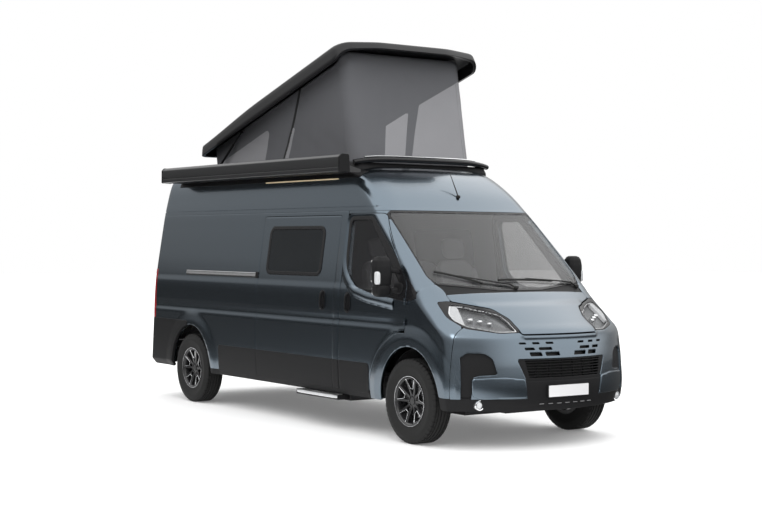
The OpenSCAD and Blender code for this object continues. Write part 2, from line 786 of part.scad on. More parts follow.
module step_tread()
    color("silver") difference() {
        union() {
            box([step_rear, step_y, step_z], [step_rear + step_l, step_y + step_d + 45, step_z + step_t]);
            for (x = [step_rear + 20, step_rear + step_l - 60])
                box([x, step_y + step_d, step_z - gap + 0.3], [x + 40, step_y + step_d + 40, step_z + 1]);
        }
        for (i = [0:9])
            box([step_rear + 20, step_y + 20 + i*18, step_z + step_t - 3],
                [step_rear + step_l - 20, step_y + 28 + i*18, step_z + step_t + 1]);
    }

// Tyre and rim, drawn with the wheel's outer side towards +Z and its axis through the origin
bead_r = 196;
tyre_profile = rounded([[bead_r + 6, -tyre_w/2 + 22, 8], [rim_r + 4, -tyre_w/2 + 22, 8],
    [tyre_r - 62, -tyre_w/2, 45], [tyre_r, -tyre_w/2 + 24, 26], [tyre_r, tyre_w/2 - 24, 26],
    [tyre_r - 62, tyre_w/2, 45], [rim_r + 4, tyre_w/2 - 22, 8], [bead_r + 6, tyre_w/2 - 22, 8]]);
module tyre()
    color([0.05, 0.05, 0.05]) rotate_extrude($fn = 96) polygon(tyre_profile);
hub_r = 70;
face_z = 62;
module rim()
    color([0.1, 0.1, 0.11]) difference() {
        union() {
            rotate_extrude($fn = 96) polygon([[bead_r - 12, -tyre_w/2 + 16], [rim_r, -tyre_w/2 + 16],
                [rim_r, -tyre_w/2 + 21.6], [bead_r + 5.6, -tyre_w/2 + 21.6],
                [bead_r + 5.6, tyre_w/2 - 21.6], [rim_r, tyre_w/2 - 21.6],
                [rim_r, tyre_w/2 - 16], [bead_r - 12, tyre_w/2 - 16]]);
            translate([0, 0, face_z - 54]) cylinder(r = hub_r, h = 54);
            translate([0, 0, face_z]) cylinder(r1 = 38, r2 = 34, h = 10);
            for (i = [0:spoke_pairs - 1], d = [-14, 14])
                rotate([0, 0, 90 + 360*i/spoke_pairs + d])
                    translate([hub_r - 15, -13, face_z - 34]) cube([bead_r - hub_r + 8, 26, 40]);
        }
        translate([0, 0, face_z - 61]) cylinder(r = stub_r + 0.3, h = 46);
        for (i = [0:4]) rotate([0, 0, 18 + 72*i]) translate([52, 0, face_z - 10]) cylinder(r = 10, h = 30);
    }
module wheel_at(x, s) translate([x, s*wheel_y, tyre_r]) rotate([-90*s, 0, 0]) children();
module tyre_front_left() wheel_at(front_axle, 1) tyre();
module tyre_front_right() wheel_at(front_axle, -1) tyre();
module tyre_rear_left() wheel_at(rear_axle, 1) tyre();
module tyre_rear_right() wheel_at(rear_axle, -1) tyre();
module rim_front_left() wheel_at(front_axle, 1) rim();
module rim_front_right() wheel_at(front_axle, -1) rim();
module rim_rear_left() wheel_at(rear_axle, 1) rim();
module rim_rear_right() wheel_at(rear_axle, -1) rim();

// Knuckle: stub axle, brake disc and the upright that turns about the steering axis
knuckle_y = wheel_y - kingpin_in;
module knuckle(s)
    color("gray") scale([1, s, 1]) {
        translate([front_axle, knuckle_y, tyre_r]) rotate([-90, 0, 0]) {
            cylinder(r = stub_r, h = kingpin_in + face_z - 16);
            translate([0, 0, 33]) cylinder(r = 150, h = 12, $fn = 64);
        }
        translate([front_axle, knuckle_y, tyre_r - 95]) cylinder(r = 40, h = 190);
        translate([front_axle, knuckle_y, tyre_r - 130]) cylinder(r = pin_r, h = 36);
    }
pin_r = 14;
module knuckle_left() knuckle(1);
module knuckle_right() knuckle(-1);

// Front crossmember with the lower arms that carry the knuckles
arm_z = tyre_r - 130;
module front_subframe()
    color([0.16, 0.16, 0.17]) difference() {
        union() {
            box([front_axle - 200, -rail_y - 90, arm_z - 5], [front_axle + 180, rail_y + 90, arm_z + 50]);
            mirrored() {
                translate([front_axle, knuckle_y, arm_z]) cylinder(r = 26, h = 30);
                box([front_axle - 30, rail_y + 80, arm_z], [front_axle + 30, knuckle_y, arm_z + 30]);
                box([front_axle - 160, rail_y + 10, arm_z + 49],
                    [front_axle - 66, rail_y + 75, rail_low - seam]);
            }
        }
        mirrored() translate([front_axle, knuckle_y, arm_z - 10]) cylinder(r = pin_r + 0.3, h = 60);
    }

// Rear axle beam with stub axles and leaf springs
module rear_axle_beam()
    color([0.16, 0.16, 0.17]) mirrored() {
        translate([rear_axle, 0, tyre_r]) rotate([-90, 0, 0]) {
            cylinder(r = 48, h = wheel_y - 20);
            cylinder(r = stub_r, h = wheel_y + face_z - 30);
        }
        translate([rear_axle, wheel_y - 25, tyre_r]) rotate([-90, 0, 0])
            cylinder(r = 140, h = 22, $fn = 64);
        intersection() {
            translate([rear_axle, rail_y + 10, tyre_r + 1950]) rotate([-90, 0, 0]) difference() {
                cylinder(r = 2000, h = 60, $fn = 200);
                translate([0, 0, -1]) cylinder(r = 1980, h = 62, $fn = 200);
            }
            box([rear_axle - 660, rail_y, 0], [rear_axle + 660, rail_y + rail_w, rail_low]);
        }
        for (x = [-600, 600])
            box([rear_axle + x - 25, rail_y + 12, rail_low - 30],
                [rear_axle + x + 25, rail_y + 68, rail_low - seam]);
    }

// Engine and gearbox as one block
module engine()
    color([0.2, 0.2, 0.21])
        box([front_axle + 140, -rail_y, arm_z + 50 + seam], [nose_x - 319, rail_y, 900]);

// Exhaust: silencer and pipe under the floor
module exhaust()
    color([0.35, 0.34, 0.33]) {
        pipe(cross_x[2] - 240, cross_x[2] + 360, 85);
        pipe(cross_x[2] + 340, cross_x[5] + 180, 28);
        pipe(cross_x[1] + 30, cross_x[2] - 230, 28);
        for (x = [cross_x[2], cross_x[4]])
            box([x + 10, 240, rail_low - 60], [x + 30, 260, rail_low + 20 - seam]);
    }

module pipe(x0, x1, r)
    translate([x0, 250, rail_low - 75]) rotate([0, 90, 0]) cylinder(r = r, h = x1 - x0);

// Dashboard with the steering wheel on its column
dash_top = 1290;
bulkhead_x = cab_door_front - 30;
module dashboard()
    color([0.12, 0.12, 0.13]) {
        intersection() {
            form(wall + seam + 6);
            translate([bulkhead_x, 0, 0]) along_y([[-260, 900], [-270, 1150], [-180, dash_top - 20],
                [-60, dash_top], [-seam, dash_top], [-seam, 900]], 225 - half_body, half_body - 225);
        }
        translate([bulkhead_x - 400, seat_y - 15, 1160]) rotate([0, 65, 0]) {
            rotate_extrude($fn = 48) translate([185, 0]) circle(r = 16, $fn = 24);
            cylinder(r = 55, h = 30);
            translate([0, 0, 10]) cylinder(r = 32, h = 190);
            for (a = [0, 180, 270]) rotate([0, 0, a]) translate([40, -18, -8]) cube([135, 36, 22]);
        }
    }

// Cab seats: base, cushion, back and headrest
seat_y = half_body - 560;
module cab_seats()
    color([0.2, 0.2, 0.22]) for (s = sides) translate([cab_door_front - 860, s*seat_y, 0]) {
        box([-190, -190, floor_z + seam], [190, 190, 800]);
        along_y([[-260, 799], [-250, 950], [230, 975], [270, 940], [260, 820], [220, 799]], -240, 240);
        along_y([[-240, 940], [-370, 1560], [-280, 1590], [-130, 960]], -240, 240);
        along_y([[-340, 1550], [-395, 1790], [-320, 1800], [-262, 1580]], -130, 130);
    }

// Living area: kitchen unit, bench base and bed base
bed_z = 1000;
bed_front = rear_axle + 554;
bench_rear = cab_door_rear - 1035;
bench_y = half_body - 675;
unit_y = half_body - 100;
module furniture()
    color([0.72, 0.66, 0.58]) {
        box([slide_rear - 370, -unit_y, floor_z + seam], [slide_rear + 530, -unit_y + 475, 1370]);
        box([bench_rear, bench_y, floor_z + seam], [bench_rear + 530, bench_y + 560, 900]);
        intersection() {
            form(wall + seam + 8);
            box([tail_x + 150, -width, bed_z - 60], [bed_front, width, bed_z]);
        }
        mirrored()
            box([bed_front - 60, liner_in - 260, floor_z + seam], [bed_front, liner_in - 20, bed_z - 59]);
    }
module cushions()
    color([0.5, 0.5, 0.52]) {
        translate([bench_rear, bench_y, 900 + seam]) {
            box([108, 10, 0], [530, 550, 110]);
            box([5, 10, 0], [100, 550, 660]);
        }
        intersection() {
            form(wall + seam + 25);
            box([tail_x + 165, -width, bed_z + seam], [bed_front - 10, width, bed_z + 130]);
        }
    }

// Awning case on the right side of the roof
awning_in = awning_out - awning_deep;
module awning()
    color([0.11, 0.11, 0.12]) difference() {
        along_x(rounded([[-awning_out, awning_z + 15, 14], [-awning_out + 10, awning_z + awning_h, 40],
            [-awning_in, awning_z + awning_h, 20], [-awning_in, awning_z + 70, 0],
            [-frame_half - seam, awning_z + 40, 0], [-frame_half - seam, awning_z + 5, 0],
            [-awning_out + 60, awning_z, 20]]), awning_rear, awning_rear + awning_l);
        form(-seam);
    }

// Roof frame that the shell lands on, with the brackets of struts and hinges
frame_top = roof_height + 4;
frame_low = roof_height - 105;
frame_front = shell_front + 12;
frame_rear = shell_rear + 40;
frame_half = shell_half - 44;
strut_y = tent_half + 42;
strut_x = shell_rear + 235;
strut_z = roof_height + 55;
hinge_y = shell_half - 410;
lift_z = roof_height + lift_up;
function frame_ring(d, z) = raised(rounded([
    [frame_rear + d, -frame_half + d, 60], [frame_front - d, -frame_half + d, 90],
    [frame_front - d, frame_half - d, 90], [frame_rear + d, frame_half - d, 60]]), z);
module roof_frame()
    color([0.08, 0.08, 0.09]) difference() {
        union() {
            difference() {
                loft([frame_ring(0, frame_low), frame_ring(0, frame_top - 60), frame_ring(22, frame_top)]);
                translate([0, 0, frame_low - 1]) linear_extrude(200) polygon(rounded([
                    [frame_rear + 110, -tent_half + 20, 40], [frame_front - 230, -tent_half + 20, 90],
                    [frame_front - 230, tent_half - 20, 90], [frame_rear + 110, tent_half - 20, 40]]));
            }
            mirrored() {
                box([lift_x - 40, hinge_y - 45, roof_height - 60],
                    [lift_x + 40, hinge_y - 26, lift_z + 22]);
                box([strut_x - 30, strut_y - 30, frame_top - 10],
                    [strut_x + 30, strut_y - 16, strut_z + 16]);
                translate([strut_x, strut_y - 28, strut_z]) rotate([-90, 0, 0]) cylinder(r = 9, h = 42);
            }
        }
        form(-seam);
        mirrored() translate([lift_x, hinge_y - 60, lift_z]) rotate([-90, 0, 0]) cylinder(r = 10.3, h = 60);
    }

// Pop-up roof: everything below is drawn closed and then swung open
module lifted()
    translate([lift_x, 0, lift_z]) rotate([0, -lift_deg, 0]) translate([-lift_x, 0, -lift_z]) children();
shell_low = roof_height + 20;
function shell_plan(inset, z) = raised(rounded([
    [shell_rear + inset, -shell_half + inset, 70],
    [shell_front - 230 + 0.5*inset, -shell_half + inset, 300],
    [shell_front - inset, -0.55*shell_half, 350], [shell_front - inset, 0.55*shell_half, 350],
    [shell_front - 230 + 0.5*inset, shell_half - inset, 300],
    [shell_rear + inset, shell_half - inset, 70]]), z);
strut_pin_x = strut_x + 565;
strut_pin_z = strut_z - 21;
module roof_shell()
    color([0.07, 0.07, 0.08]) lifted() difference() {
        union() {
            difference() {
                loft([shell_plan(0, shell_low), shell_plan(6, shell_low + shell_h - 45),
                    shell_plan(40, shell_low + shell_h - 8), shell_plan(110, shell_low + shell_h)]);
                loft([shell_plan(shell_t, shell_low - 1), shell_plan(shell_t + 4, shell_low + shell_h - 60),
                    shell_plan(shell_t + 40, shell_low + shell_h - shell_t)]);
            }
            mirrored() {
                box([lift_x, hinge_y - 20, lift_z - 14], [shell_rear + 60, hinge_y + 2, lift_z + 14]);
                translate([lift_x, hinge_y - 20, lift_z]) rotate([-90, 0, 0]) cylinder(r = 20, h = 22);
                translate([lift_x, hinge_y - 50, lift_z]) rotate([-90, 0, 0]) cylinder(r = 10, h = 52);
                translate([strut_pin_x, strut_y + 18, strut_pin_z]) rotate([-90, 0, 0])
                    cylinder(r = 12, h = shell_half - strut_y - 34);
            }
        }
    }

// Tent wall between roof frame and shell
tent_rear = shell_rear + 105;
tent_front = shell_front - 190;
tent_top_front = tent_front - 45;
function tent_ring(front, d, z) = raised(rounded([
    [tent_rear + d, -tent_half + d, 50], [front - d, -tent_half + d, 120],
    [front - d, tent_half - d, 120], [tent_rear + d, tent_half - d, 50]]), z);
function swing(p) = [
    lift_x + (p[0] - lift_x)*cos(lift_deg) - (p[2] - lift_z)*sin(lift_deg),
    p[1],
    lift_z + (p[0] - lift_x)*sin(lift_deg) + (p[2] - lift_z)*cos(lift_deg)];
module tent_hull(d)
    loft([tent_ring(tent_front, d, frame_top + seam),
        [for (p = tent_ring(tent_top_front, d, shell_low + 60)) swing(p)]]);
module tent()
    color([0.42, 0.43, 0.45]) difference() {
        tent_hull(0);
        translate([0, 0, -0.5]) tent_hull(tent_t);
        translate([0, 0, 0.5]) tent_hull(tent_t);
    }

// Gas struts beside the tent, barrel below and rod above
strut_pin = swing([strut_pin_x, strut_y, strut_pin_z]);
strut_run = [strut_pin[0] - strut_x, strut_pin[2] - strut_z];
strut_len = norm(strut_run);
strut_deg = atan2(strut_run[1], strut_run[0]);
barrel_len = 400;
module on_strut() mirrored()
    translate([strut_x, strut_y, strut_z]) rotate([0, -strut_deg, 0]) children();
module strut_barrels()
    color([0.05, 0.05, 0.05]) on_strut() difference() {
        union() {
            translate([15, 0, 0]) rotate([0, 90, 0]) cylinder(r = 12, h = barrel_len - 15);
            rotate([-90, 0, 0]) translate([0, 0, -10]) cylinder(r = 18, h = 20);
        }
        rotate([-90, 0, 0]) translate([0, 0, -20]) cylinder(r = 9.3, h = 40);
        translate([60, 0, 0]) rotate([0, 90, 0]) cylinder(r = 6.3, h = barrel_len);
    }
module strut_rods()
    color("silver") on_strut() {
        translate([strut_len - 440, 0, 0]) rotate([0, 90, 0]) cylinder(r = 6, h = 430);
        translate([strut_len, -12, 0]) rotate([-90, 0, 0]) cylinder(r = 14, h = 24);
    }

floor_frame();
side_wall_right();
side_wall_left();
sliding_door();
side_windows();
roof_panel();
cab_frame();
windscreen();
front_wings();
front_bumper();
grille_slats();
headlamps();
tail_lamps();
rear_bumper();
side_cladding();
arch_liners();
front_subframe();
rear_axle_beam();
engine();
exhaust();
dashboard();
cab_seats();
furniture();
cushions();
awning();
roof_frame();
tent();
cab_door_right();
cab_glass_right();
mirror_right();
cab_door_left();
cab_glass_left();
mirror_left();
rear_door_right();
rear_glass_right();
rear_door_left();
rear_glass_left();
bonnet();
knuckle_left();
knuckle_right();
tyre_front_left();
tyre_front_right();
tyre_rear_left();
tyre_rear_right();
rim_front_left();
rim_front_right();
rim_rear_left();
rim_rear_right();
roof_shell();
strut_barrels();
strut_rods();
step_tread();
hinge_pins();
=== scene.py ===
# %% [markdown]
# # A camper van with a pop-up roof
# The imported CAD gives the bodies, the joints and the sizes. This lesson draws the looks around it:
# the pressed body panels, the glass, the lamps, the wheels, the tent and the seats.
# Every panel is cut from one smooth surface, the way a presser cuts doors and wings from one
# styling model, so that the shut lines run through and the highlights flow from panel to panel.

import bpy
import numpy as np
from mathutils import Matrix


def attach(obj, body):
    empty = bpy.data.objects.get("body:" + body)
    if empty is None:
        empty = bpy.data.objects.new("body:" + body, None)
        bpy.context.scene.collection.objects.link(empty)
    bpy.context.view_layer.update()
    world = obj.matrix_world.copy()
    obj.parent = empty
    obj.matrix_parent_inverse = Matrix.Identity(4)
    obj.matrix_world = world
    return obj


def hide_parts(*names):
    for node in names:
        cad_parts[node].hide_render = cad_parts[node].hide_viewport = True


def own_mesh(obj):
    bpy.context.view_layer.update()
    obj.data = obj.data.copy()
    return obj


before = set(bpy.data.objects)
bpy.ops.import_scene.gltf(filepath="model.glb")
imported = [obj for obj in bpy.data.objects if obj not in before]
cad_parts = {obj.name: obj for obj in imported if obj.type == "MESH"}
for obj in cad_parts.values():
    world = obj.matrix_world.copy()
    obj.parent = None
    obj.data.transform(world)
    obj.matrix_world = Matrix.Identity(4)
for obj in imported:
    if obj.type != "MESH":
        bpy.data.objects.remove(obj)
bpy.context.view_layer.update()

# %% [markdown]
# ## The body's form
# The van is described by a column of horizontal sections. Each section is half an outline in plan:
# a wide arc across the nose, a tighter arc round the corner, a straight side and a small arc at the
# tail. Between the sections a monotone cubic keeps the form fair without overshooting.

# %% sections of the body
# Columns: height, tuck of the side, setback of the nose, radius of the nose, corner radius and setback
# of the tail, written in millimetres.
SECTIONS = np.array([
    [290, 40, 48, 1500, 120, 70], [420, 16, 10, 1500, 125, 62], [540, 6, 0, 1500, 130, 56],
    [700, 0, 8, 1500, 135, 52], [860, 0, 30, 1500, 150, 50], [950, 0, 52, 1520, 170, 50],
    [1000, 1, 95, 1580, 195, 50], [1060, 3, 190, 1700, 222, 50], [1140, 7, 315, 1900, 245, 50],
    [1220, 12, 440, 2150, 255, 50], [1300, 18, 560, 2500, 235, 50], [1350, 23, 638, 2900, 200, 50],
    [1500, 42, 804, 3200, 180, 52], [1700, 70, 1027, 3400, 175, 58], [1900, 98, 1250, 3700, 180, 66],
    [2050, 119, 1418, 4000, 200, 75], [2205, 146, 1582, 4000, 240, 90], [2320, 168, 1738, 4000, 270, 105],
    [2400, 190, 1872, 4000, 290, 118], [2445, 212, 1978, 4000, 300, 130], [2480, 250, 2098, 4000, 300, 150],
    [2498, 305, 2214, 4000, 290, 180], [2505, 385, 2334, 4000, 260, 230]])/1000
TUCK, SETBACK, BOW, CORNER, TAIL = range(1, 6)
NOSE, HALF, REAR_CORNER = 2.999, 1.005, 0.07
FRONT_AXLE, REAR_AXLE, AXLE_Z = 2.051, -1.984, 0.372


def slopes(x, y):
    """Slopes of a monotone cubic: the harmonic mean of the neighbouring steps, or zero where they turn
    round."""
    d = np.diff(y)/np.diff(x)
    m = np.concatenate([[d[0]], np.zeros(len(d) - 1), [d[-1]]])
    same = d[1:]*d[:-1] > 0
    m[1:-1][same] = 2*d[1:][same]*d[:-1][same]/(d[1:][same] + d[:-1][same])
    return m


SLOPES = np.array([slopes(SECTIONS[:, 0], SECTIONS[:, k]) for k in range(6)]).T


def section(z, column):
    """A column of the table at height z, along cubic Hermite curves between the rows."""
    rows = SECTIONS[:, 0]
    z = np.clip(z, rows[0], rows[-1])
    i = np.clip(np.searchsorted(rows, z) - 1, 0, len(rows) - 2)
    h = rows[i + 1] - rows[i]
    t = (z - rows[i])/h
    a, b = SECTIONS[i, column], SECTIONS[i + 1, column]
    p, q = SLOPES[i, column]*h, SLOPES[i + 1, column]*h
    return a + t*(p + t*(3*(b - a) - 2*p - q + t*(p + q - 2*(b - a))))


def form(z):
    """Half width, nose, nose radius, corner radius, tail, corner angle and corner centre at height z."""
    w = HALF - section(z, TUCK)
    front = NOSE - section(z, SETBACK)
    bow, corner = section(z, BOW), section(z, CORNER)
    turn = np.arcsin((w - corner)/(bow - corner))
    return w, front, bow, corner, section(z, TAIL) - NOSE, turn, front - bow + (bow - corner)*np.cos(turn)


print("sections:", len(SECTIONS), "half width at the waist", round(float(form(1.345)[0]), 3))

# %% [markdown]
# Three ways round the same form. `flank` is the side in side view, `nose` runs from the middle of the
# front round the corner and back along the side, and `tail` runs from the side round to the rear doors.
# A small relief is pressed into each of them: the flares round the wheels, the shoulder under the
# windows and the plateau in the bonnet.

# %% surfaces
def ramp(t):
    """A soft step from 0 to 1."""
    t = np.clip(t, 0, 1)
    return t*t*(3 - 2*t)


FLARE, SHOULDER, HOLLOW, GUTTER, PLATEAU = 0.018, 0.004, 0.010, 0.005, 0.012


def relief(x, y, z):
    """How far the sheet is pressed out: flares about the axles, and along the side a shoulder below the
    windows, a hollow under it and a gutter below the roof. The bonnet has a plateau. Each is a depth times
    soft steps at its edges."""
    y = np.abs(y)
    out = np.zeros_like(z)
    for axle, reach in ((FRONT_AXLE, 0.645), (REAR_AXLE, 0.60)):
        d = np.hypot(x - axle, z - AXLE_Z - 0.02)
        flare = FLARE*np.clip((reach - d)/0.12, 0, 1)
        out = out + flare*ramp((y - 0.80)/0.1)
    side = ramp((y - 0.9)/0.03)*ramp((x + 2.93)/0.12)*ramp((2.25 - x)/0.35)
    out = out + SHOULDER*side*ramp((1.352 - z)/0.016)*ramp((z - 1.05)/0.22)
    out = out - HOLLOW*side*ramp((1.095 - z)/0.06)*ramp((z - 0.985)/0.045)*ramp((2.0 - x)/0.3)
    out = out + GUTTER*side*ramp((2.03 - z)/0.012)*ramp((z - 1.99)/0.03)
    edge = 0.47 + 0.75*(z - 0.985)
    bonnet = ramp((edge - y)/0.05)*ramp((1.255 - z)/0.07)*ramp((x - 2.3)/0.1)*ramp((z - 0.93)/0.03)
    return out + PLATEAU*bonnet


def flank(x, z, s):
    """The side in side view: straight, falling away on an arc at each end."""
    w, front, bow, corner, rear, turn, cx = form(z)
    d = np.clip(x - cx, 0, corner*np.cos(turn))
    y = w - corner + np.sqrt(corner**2 - d**2)
    d = np.clip(rear + REAR_CORNER - x, 0, REAR_CORNER*0.999)
    y = y - REAR_CORNER + np.sqrt(REAR_CORNER**2 - d**2)
    return np.stack([x, s*(y + relief(x, y, z)), z], -1)


def nose(q, z):
    """q 0 to 1 is the arc of the nose, 1 to 2 the corner, then a metre of side per unit. The sign gives
    the side."""
    w, front, bow, corner, rear, turn, cx = form(z)
    s, q = np.where(q < 0, -1.0, 1.0), np.abs(q)
    a = turn*np.clip(q, 0, 1)
    b = turn + (np.pi/2 - turn)*np.clip(q - 1, 0, 1)
    x = np.where(q < 1, front - bow + bow*np.cos(a), cx + corner*np.cos(b)) - np.clip(q - 2, 0, None)
    y = np.where(q < 1, bow*np.sin(a), w - corner + corner*np.sin(b))
    return np.stack([x, s*y, z], -1)


def tail(u, z, s):
    """u metres forwards along the side from the rear corner, or round the corner and along the rear where
    negative."""
    w, rear = HALF - section(z, TUCK), section(z, TAIL) - NOSE
    arc = REAR_CORNER*np.pi/2
    a = np.clip(-u/REAR_CORNER, 0, np.pi/2)
    x = rear + REAR_CORNER - REAR_CORNER*np.sin(a) + np.clip(u, 0, None)
    y = w - REAR_CORNER + REAR_CORNER*np.cos(a) - np.clip(-u - arc, 0, None)
    return np.stack([x, s*(y + relief(x, y, z)), z], -1)


def pressed(q, z):
    """The nose with the relief pressed out along its normal."""
    p = nose(q, z)
    return p + normals(nose, q, z)*relief(p[..., 0], p[..., 1], p[..., 2])[..., None]


MIDDLE = np.array([-0.3, 0, 1.3])


def normals(surface, u, v):
    """Unit normals from the cross product of the two tangents, turned away from the van's middle."""
    e = 1e-4
    n = np.cross(surface(u + e, v) - surface(u - e, v), surface(u, v + e) - surface(u, v - e))
    n /= np.linalg.norm(n, axis=-1, keepdims=True) + 1e-12
    out = surface(u, v) - MIDDLE
    return n*np.where(np.sum(n*out) < 0, -1.0, 1.0)


print("nose at the bonnet's edge", np.round(nose(np.array([0.0]), np.array([0.985]))[0], 3))

# %% [markdown]
# ## Cutting panels
# A panel is the part of a surface where a distance function is negative. The grid's cells that the
# edge runs through are cut along it, as in contour drawing, so a door keeps its true outline however
# the grid lies. Then the edge is rolled over and a second skin closes the panel, like a hemmed door.

# %% outlines and distances
def outline(points):
    """Corners [a, b, radius] turned by arcs into a closed line of points."""
    n, line = len(points), []
    for i in range(n):
        p, r = np.array(points[i][:2], float), points[i][2] if len(points[i]) > 2 else 0
        u, v = (np.array(points[k % n][:2], float) - p for k in (i - 1, i + 1))
        u, v = u/np.linalg.norm(u), v/np.linalg.norm(v)
        half = np.arccos(np.clip(u @ v, -1, 1))/2
        if r == 0 or half > 1.55:
            line.append(p[None])
            continue
        m = p + (u + v)/np.linalg.norm(u + v)*r/np.sin(half)
        a, b = p + u*r/np.tan(half) - m, p + v*r/np.tan(half) - m
        t = np.linspace(0, 1, 9)[:, None]
        d = a*(1 - t) + b*t
        line.append(m + r*d/np.linalg.norm(d, axis=1, keepdims=True))
    return np.concatenate(line)


def distance(a, b, line):
    """Signed distance in the plane to a closed line, negative inside."""
    p = np.stack([a.ravel(), b.ravel()], -1)[:, None]
    e = np.roll(line, -1, 0) - line
    w = p - line
    t = np.clip((w*e).sum(-1)/(e*e).sum(-1), 0, 1)
    d = np.sqrt(((w - e*t[..., None])**2).sum(-1)).min(1)
    up = (line[:, 1] <= p[..., 1]) != (np.roll(line, -1, 0)[:, 1] <= p[..., 1])
    rise = np.where(e[:, 1] == 0, 1e-12, e[:, 1])
    cross = up & (p[..., 0] < line[:, 0] + e[:, 0]*(p[..., 1] - line[:, 1])/rise)
    return np.where(cross.sum(1) % 2 == 1, -d, d).reshape(a.shape)


def side_view(points):
    """Distance to an outline drawn in side view, as a function of places in space."""
    line = outline(points)
    return lambda p: distance(p[..., 0], p[..., 2], line)


def front_view(points):
    """Distance to an outline drawn in front view for the one half, used for both."""
    line = outline(points)
    return lambda p: distance(np.abs(p[..., 1]), p[..., 2], line)


def across_view(points):
    """Distance to an outline drawn across the van, with the sides kept apart."""
    line = outline(points)
    return lambda p: distance(p[..., 1], p[..., 2], line)


def grown(zone, d):
    """A zone with its edge moved out by d."""
    return lambda p: zone(p) - d


def both(*zones):
    """Where all zones are: the largest of their distances."""
    return lambda p: np.max([f(p) for f in zones], 0)


def either(*zones):
    """Where any zone is: the smallest of their distances."""
    return lambda p: np.min([f(p) for f in zones], 0)


def without(zone, *holes):
    """A zone with holes: the holes' distances change sign."""
    return lambda p: np.max([zone(p)] + [-f(p) for f in holes], 0)


def band(zone, low, high):
    """The strip along an outline between two distances from it."""
    return lambda p: np.abs(zone(p) - (low + high)/2) - (high - low)/2


def slab(axis, low, high):
    """The space between two planes across an axis, 0 for x to 2 for z."""
    return lambda p: np.maximum(low - p[..., axis], p[..., axis] - high)


def beyond(y):
    """The space further out than y on both sides."""
    return lambda p: y - np.abs(p[..., 1])


def wheel_room(axle, r):
    """A round space about an axle."""
    return lambda p: np.hypot(p[..., 0] - axle, p[..., 2] - AXLE_Z) - r


print("outlines:", len(outline([[0, 0, 0.1], [1, 0, 0.1], [1, 1, 0.1]])), "points round a triangle")

# %% [markdown]
# Each cell of the grid has four corners, inside or outside the zone, so sixteen cases. The places where
# the edge crosses a cell's sides are found by false position, five times over.

# %% cutting
def cut(surface, us, vs, zone):
    """Vertices, normals and polygons of the part of a surface where zone is negative. Cells on the edge
    are cut along it."""
    u, v = np.meshgrid(us, vs, indexing="ij")
    n, m = u.shape
    d = zone(surface(u, v))
    uv = [np.stack([u, v], -1).reshape(-1, 2)]
    for a, b in ((np.s_[:-1, :], np.s_[1:, :]), (np.s_[:, :-1], np.s_[:, 1:])):
        low, high = np.stack([u[a], v[a]], -1), np.stack([u[b], v[b]], -1)
        dl, dh = d[a].copy(), d[b].copy()
        live = (dl < 0) != (dh < 0)
        mid = (low + high)/2
        if live.any():
            p, q, f, g = low[live], high[live], dl[live], dh[live]
            for _ in range(5):
                t = np.clip(f/(f - g), 0.03, 0.97)[:, None]
                c = p + (q - p)*t
                h = zone(surface(c[:, 0], c[:, 1]))
                left = (h < 0) == (f < 0)
                p, f = np.where(left[:, None], c, p), np.where(left, h, f)
                q, g = np.where(left[:, None], q, c), np.where(left, g, h)
            t = np.clip(f/(f - g), 0, 1)[:, None]
            mid[live] = p + (q - p)*t
        uv.append(mid.reshape(-1, 2))
    uv = np.concatenate(uv)
    i, j = np.meshgrid(np.arange(n - 1), np.arange(m - 1), indexing="ij")
    i, j = i.ravel(), j.ravel()
    corner = np.stack([i*m + j, (i + 1)*m + j, (i + 1)*m + j + 1, i*m + j + 1], -1)
    across, along = n*m, n*m + (n - 1)*m
    edge = np.stack([across + i*m + j, along + (i + 1)*(m - 1) + j, across + i*m + j + 1,
                     along + i*(m - 1) + j], -1)
    inside = (d < 0).ravel()[corner]
    code = inside @ np.array([1, 2, 4, 8])
    polys = []
    for c in range(1, 16):
        cells = np.nonzero(code == c)[0]
        if len(cells):
            sides = []
            for k in range(4):
                here, there = c >> k & 1, c >> (k + 1) % 4 & 1
                sides += [corner[cells, k]] if here else []
                sides += [edge[cells, k]] if here != there else []
            polys.append(np.stack(sides, -1))
    used = np.unique(np.concatenate([p.ravel() for p in polys]))
    number = np.zeros(len(uv), int)
    number[used] = np.arange(len(used))
    uv = uv[used]
    co, no = surface(uv[:, 0], uv[:, 1]), normals(surface, uv[:, 0], uv[:, 1])
    polys = [number[p] for p in polys]
    q = max(polys, key=len)[:40]
    facing = np.cross(co[q[:, 1]] - co[q[:, 0]], co[q[:, 2]] - co[q[:, 0]])
    if (facing*no[q[:, 0]]).sum() < 0:
        polys = [p[:, ::-1] for p in polys]
    return co, no, polys


disc = cut(lambda u, v: np.stack([u, v, 0*u], -1), np.linspace(-1, 1, 21), np.linspace(-1, 1, 21),
           lambda p: np.hypot(p[..., 0], p[..., 1]) - 0.8)
print("a disc cut from a grid:", len(disc[0]), "points")


# %% [markdown]
# A real panel's edge is folded over an inner sheet. A Solidify modifier could give the thickness, but
# not the small roll along the edge that catches the light beside a shut line. So the rim's vertices are
# moved out and down in two steps and joined to an inner skin.

# %% hems
def rim(polys, count):
    """The edges that only one polygon uses, in that polygon's direction."""
    e = np.concatenate([np.stack([p, np.roll(p, -1, 1)], -1).reshape(-1, 2) for p in polys])
    e = e[e[:, 0] != e[:, 1]]
    key = np.sort(e, 1) @ np.array([count, 1])
    _, first, uses = np.unique(key, return_index=True, return_counts=True)
    return e[first[uses == 1]]


